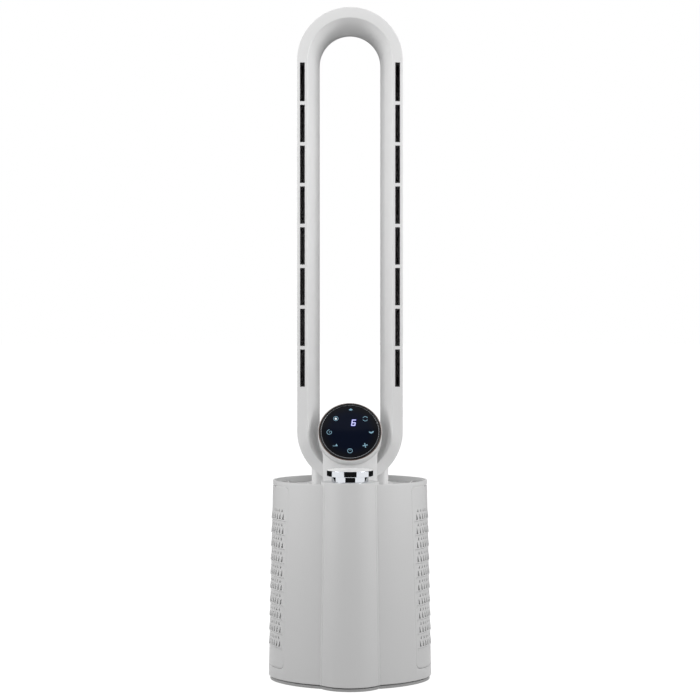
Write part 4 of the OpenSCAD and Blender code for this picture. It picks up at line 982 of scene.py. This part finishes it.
def at_rim(co):
    return abs(co.z - RIM_Z * MM) < AT_RIM


def at_seam(co):
    return abs(co.y - (OVAL_Y + SEAM) * MM) < AT_SEAM


def anywhere(co):
    return True


# which edges, the width of their round and its steps
HOUSING_RULES = ((at_rim, 1.25 * MM, 4), (at_seam, 0.12 * MM, 1), (anywhere, 0.5 * MM, 2))

# %% Rear housing
REAR_PROBE = 0.2
bm = bmesh.new()
for side in (-1.0, 1.0):
    sheet(bm, quarter_columns(True), HEIGHTS, quarter_point(side, True), in_opening)
merge(bm)
face_outwards(bm, (0.0, (HALF_D + OVAL_Y) * MM, REAR_PROBE), (0, 1, 0))
rear = piece(bm, "rear_housing_skin", BASE, base_white, ("rear_housing",))
thicken(rear, WALL * MM)
round_where(rear, HOUSING_RULES)
print("rear housing faces:", len(rear.data.polygons))

# %% [markdown]
# The column is a full turn of lines round its own axis. Where it leaves the oval it carries a slim raised
# bead with a hairline groove, which shows in the photograph as a bright line down each side. Above the
# deck the turn closes behind, hollowed where the turntable passes, and the roof runs in to the canister's
# bore.

# %% The column's plan
BEAD_W, BEAD_UP, GROOVE_W, GROOVE_DEEP = 4.4, 0.9, 1.0, 0.4
BEAD_TOP, BEAD_FADE, BEAD_CURVE = 319.5, 3.5, 0.7
LID_BORE, BORE_FORWARD = 38.9, 3.5
SWEEP_R, SWEEP_BEHIND = 71.5, 112.0
BACK_FOOT = 308.0
FRONT_LINES, BEHIND_LINES = 18, 20
BEAD_STOPS = (0.0, 0.2, 0.6, 1.2, 2.2, 3.2, 3.8, 4.2, BEAD_W, BEAD_W + 0.5 * GROOVE_W, BEAD_W + GROOVE_W)
COLUMN_HEIGHTS = (BODY_Z, 9.0, 14.0, *PLAIN_HEIGHTS, BACK_FOOT, 313.0, 317.0, BEAD_TOP, 320.5, 321.5, 322.3,
                  BEAD_TOP + BEAD_FADE, ROOF_Z)
ROOF_SHARES = (0.3, 0.65, 1.0)


def bead(s, z):
    """How far the column stands out at the distance s from its junction."""
    share = min(1.0, max(0.0, (BEAD_TOP + BEAD_FADE - z) / BEAD_FADE))
    if s < BEAD_W:
        return share * BEAD_UP * math.sin(math.pi * s / BEAD_W) ** BEAD_CURVE
    if s < BEAD_W + GROOVE_W:
        return -share * GROOVE_DEEP * math.sin(math.pi * (s - BEAD_W) / GROOVE_W)
    return 0.0


def along_ray(turn, radius, offset):
    """Distances at which a ray from the column's axis meets a circle whose centre lies offset behind it."""
    behind = -math.cos(turn)
    under = (offset * behind) ** 2 - offset**2 + radius**2
    if under < 0.0:
        return None
    return offset * behind - math.sqrt(under), offset * behind + math.sqrt(under)


column_stops = [("behind", -i / BEHIND_LINES) for i in range(BEHIND_LINES, 0, -1)]
column_stops += [("bead", -s) for s in BEAD_STOPS]
column_stops += [("share", i / FRONT_LINES) for i in range(1 - FRONT_LINES, FRONT_LINES)]
column_stops += [("bead", s) for s in reversed(BEAD_STOPS)]
column_stops += [("behind", i / BEHIND_LINES) for i in range(1, BEHIND_LINES + 1)]
column_rows = [(z, 0.0) for z in COLUMN_HEIGHTS] + [(ROOF_Z, share) for share in ROOF_SHARES]
print("column lines:", len(column_stops), "by", len(column_rows))


def column_point(stop, row):
    """The point of the column where a line meets a height, or a share of the way in over the roof."""
    kind, value = stop
    z, roof_share = row
    radius = COLUMN_R - draw_in(z)
    edge = junction(draw_in(z))[0]
    if kind == "bead":
        sign = -1.0 if math.copysign(1.0, value) < 0 else 1.0
        turn = sign * (edge - abs(value) / radius)
        radius += bead(abs(value), z)
    elif kind == "share":
        turn = value * (edge - (BEAD_W + GROOVE_W) / radius)
    else:
        turn = math.copysign(edge + (math.pi - edge) * abs(value), value)
        swept = along_ray(turn, SWEEP_R, SWEEP_BEHIND)
        if swept:
            radius = min(radius, swept[0])
    if roof_share:
        bore = along_ray(turn, LID_BORE, -BORE_FORWARD)[1]
        radius += (bore - radius) * roof_share
    return radius * math.sin(turn), OVAL_Y + COLUMN_Y - radius * math.cos(turn), z


def behind_and_low(left, right, low, high):
    return "behind" in (left[0], right[0]) and high[0] <= BACK_FOOT


# %% Front housing
FRONT_PROBE, QUARTER_PROBE = 0.1, 60 * MM
bm = bmesh.new()
sheet(bm, column_stops, column_rows, column_point, behind_and_low)
merge(bm)
face_outwards(bm, (0.0, (OVAL_Y + COLUMN_Y - COLUMN_R) * MM, FRONT_PROBE), (0, -1, 0))
for side in (-1.0, 1.0):
    part = bmesh.new()
    sheet(part, quarter_columns(False), HEIGHTS, quarter_point(side, False), in_opening)
    face_outwards(part, (side * QUARTER_PROBE, (OVAL_Y - HALF_D) * MM, FRONT_PROBE), (0, -1, 0))
    held = mesh_of(part, "quarter")
    bm.from_mesh(held)
    bpy.data.meshes.remove(held)
front = piece(bm, "front_housing_skin", BASE, base_white, ("front_housing",))
thicken(front, WALL * MM)
round_where(front, HOUSING_RULES)
print("front housing faces:", len(front.data.polygons))

# %% Deck and foot plate
DECK_ROUND, PLATE_ROUND = 0.3 * MM, 0.5 * MM
softened("deck_plate", base_white, DECK_ROUND)
softened("foot_plate", grey, PLATE_ROUND)

# %% [markdown]
# The side covers carry ten bands of air holes. Each band is a low scale, like a roof shingle: it rises
# slowly from the dots to a lip under the drops and then steps back. A grid is bent onto the side of the
# base. Its lines are set so that every hole is one face of it, and these faces are taken out.

# %% The grid's lines, in millimetres
COVER_HALF, COVER_LOW, COVER_HIGH, COVER_CORNER = 64.5, 24.5, 313.8, 9.0
COVER_T, LIP, SUNK = 2.6, 1.1, -0.3
HOLE_STEP, DROP_Z, ROW_STEP, ROWS = 3.75, 63.7, 22.47, 10
NOTCH_HALF, NOTCH_Z = 31.0, 311.9
WARP, BAND_END, EDGE_ROW, EDGE_NEAR = 20.0, 60.0, 0.5, 0.1
COVER_PROBE = 0.04
DROP_LINE, DOT_LINE = -4.5, 7.35
# height above a row's middle: (offset, proud, half width of a drop's line, of a dot's line)
BAND = ((-6.9, 0.0, 1.2, 1.0), (-6.1, LIP, 1.5, 1.0), (-5.2, LIP, 1.9, 1.0),
        (DROP_LINE, LIP * 0.94, 2.0, 0.9), (4.5, LIP * 0.23, 0.5, 0.9), (DOT_LINE, 0.0, 0.8, 1.5),
        (11.85, 0.0, 0.8, 0.45))
LOW_LINES = (COVER_LOW, COVER_LOW + EDGE_ROW, 28.0, 36.0, 44.4, 51.0)
HIGH_LINES = (285.0, 293.8, 303.0, NOTCH_Z, COVER_HIGH - EDGE_ROW, COVER_HIGH)
OUTER = (59.3, 61.0, 62.6, 63.6, 64.15, COVER_HALF)
FURTHEST = 15


def plain(lines):
    return [(z, 0.0, 1.0, 1.0, None) for z in lines]


heights = plain(LOW_LINES)
for row in range(ROWS):
    heights += [(DROP_Z + row * ROW_STEP + band[0], *band[1:], band[0]) for band in BAND]
heights += plain(HIGH_LINES)
columns = [(-y, 0, 0) for y in reversed(OUTER)]
columns += [(k * HOLE_STEP, side, k) for k in range(-FURTHEST, FURTHEST + 1) for side in (-1, 1)]
columns += [(y, 0, 0) for y in OUTER]
print("grid lines:", len(columns), "by", len(heights))


# %% Bend, cut and thicken
def cover_point(column, line):
    """A grid corner on the side of the base, moved out on the scales and in at the cover's edge."""
    middle, side, k = column
    z, proud, drop, dot, _ = line
    y = middle + side * (drop if k % 2 else dot)
    past = max(0.0, abs(y) - (COVER_HALF - COVER_CORNER))
    corner = COVER_CORNER - math.sqrt(max(0.0, COVER_CORNER**2 - past**2))
    low_share = max(0.0, 1.0 - (z - COVER_LOW) / WARP)
    high_share = max(0.0, 1.0 - (COVER_HIGH - z) / WARP)
    z += corner * (low_share - high_share)
    if abs(y) > BAND_END:
        proud = 0.0
    if abs(y) > COVER_HALF - EDGE_NEAR or line[0] in (COVER_LOW, COVER_HIGH):
        proud = SUNK
    return side_x(y, draw_in(z) - proud), y + OVAL_Y, z


def is_hole(left, right, line, above):
    """True for a drop, a dot or the thumb notch."""
    inside = left[1] == -1 and right[1] == 1
    line_here = DROP_LINE if left[2] % 2 else DOT_LINE
    notch_here = line[0] >= NOTCH_Z and max(abs(left[0]), abs(right[0])) < NOTCH_HALF
    return notch_here or (inside and line[4] == line_here)


def cover(side):
    bm = bmesh.new()
    gone = sheet(bm, columns, heights, cover_point, is_hole)
    bmesh.ops.scale(bm, vec=(side, 1.0, 1.0), verts=bm.verts)
    face_outwards(bm, (side * BASE_HALF * MM, OVAL_Y * MM, COVER_PROBE), (side, 0, 0))
    word = "left" if side < 0 else "right"
    node = word + "_filter_cover"
    made = piece(bm, node + "_scaled", word + "_cover", base_white, (node,))
    thicken(made, COVER_T * MM)
    print(made.name, "holes:", gone)


cover(-1)
cover(1)

# %% [markdown]
# What is left are the working pieces inside, which show through the slots and holes and when a cover is
# pulled or the canister is lifted. Their CAD shapes are right, so each only gets its finish.

# %% Finishes for the remaining nodes
LEFT_OVER = (
    ("slot_black", slot_black, "left_outlet_strip right_outlet_strip"),
    ("rubber", rubber, "rubber_feet tank_valve tank_seal motor_mounts duct_seal"),
    ("steel", steel, "base_screws mist_disc impeller_nut motor_shaft motor_bearings stepper_motor"
                     " keeper_ring stem_screws"),
    ("filter_frame", grey, "left_filter_frame right_filter_frame"),
    ("filter_media", media, "left_filter_media right_filter_media"),
    ("inner_grey", inner, "left_cradle right_cradle tank_well fan_housing inlet_bellmouth diffuser"
                          " riser_duct"),
    ("clear_plastic", tank, "tank_body"), ("dark_plastic", matt_black, "impeller power_inlet"),
    ("motor_metal", case_metal, "motor_case motor_magnet"), ("copper", copper_wire, "motor_stator"),
    ("slide_plastic", natural, "slide_ring swivel_pinion ring_gear"),
    ("board", board, "main_board display_board"), ("lead", lead_jacket, "mains_leads"),
    (SHELL, white, "pod_back_cover"), ("copper", copper_line, "hairline_ring"),
    ("dark_plastic", ribbon, "display_ribbon"),
)
dressed = []
for slot, paint, names in LEFT_OVER:
    for node in names.split():
        solid = frame["nodes"][node]
        solid.data.materials.clear()
        solid.data.materials.append(paint)
        dressed.append(node)
bare = [n for n, o in frame["nodes"].items() if not o.hide_render and n not in dressed]
print("nodes with a finish:", len(dressed), "without:", bare)
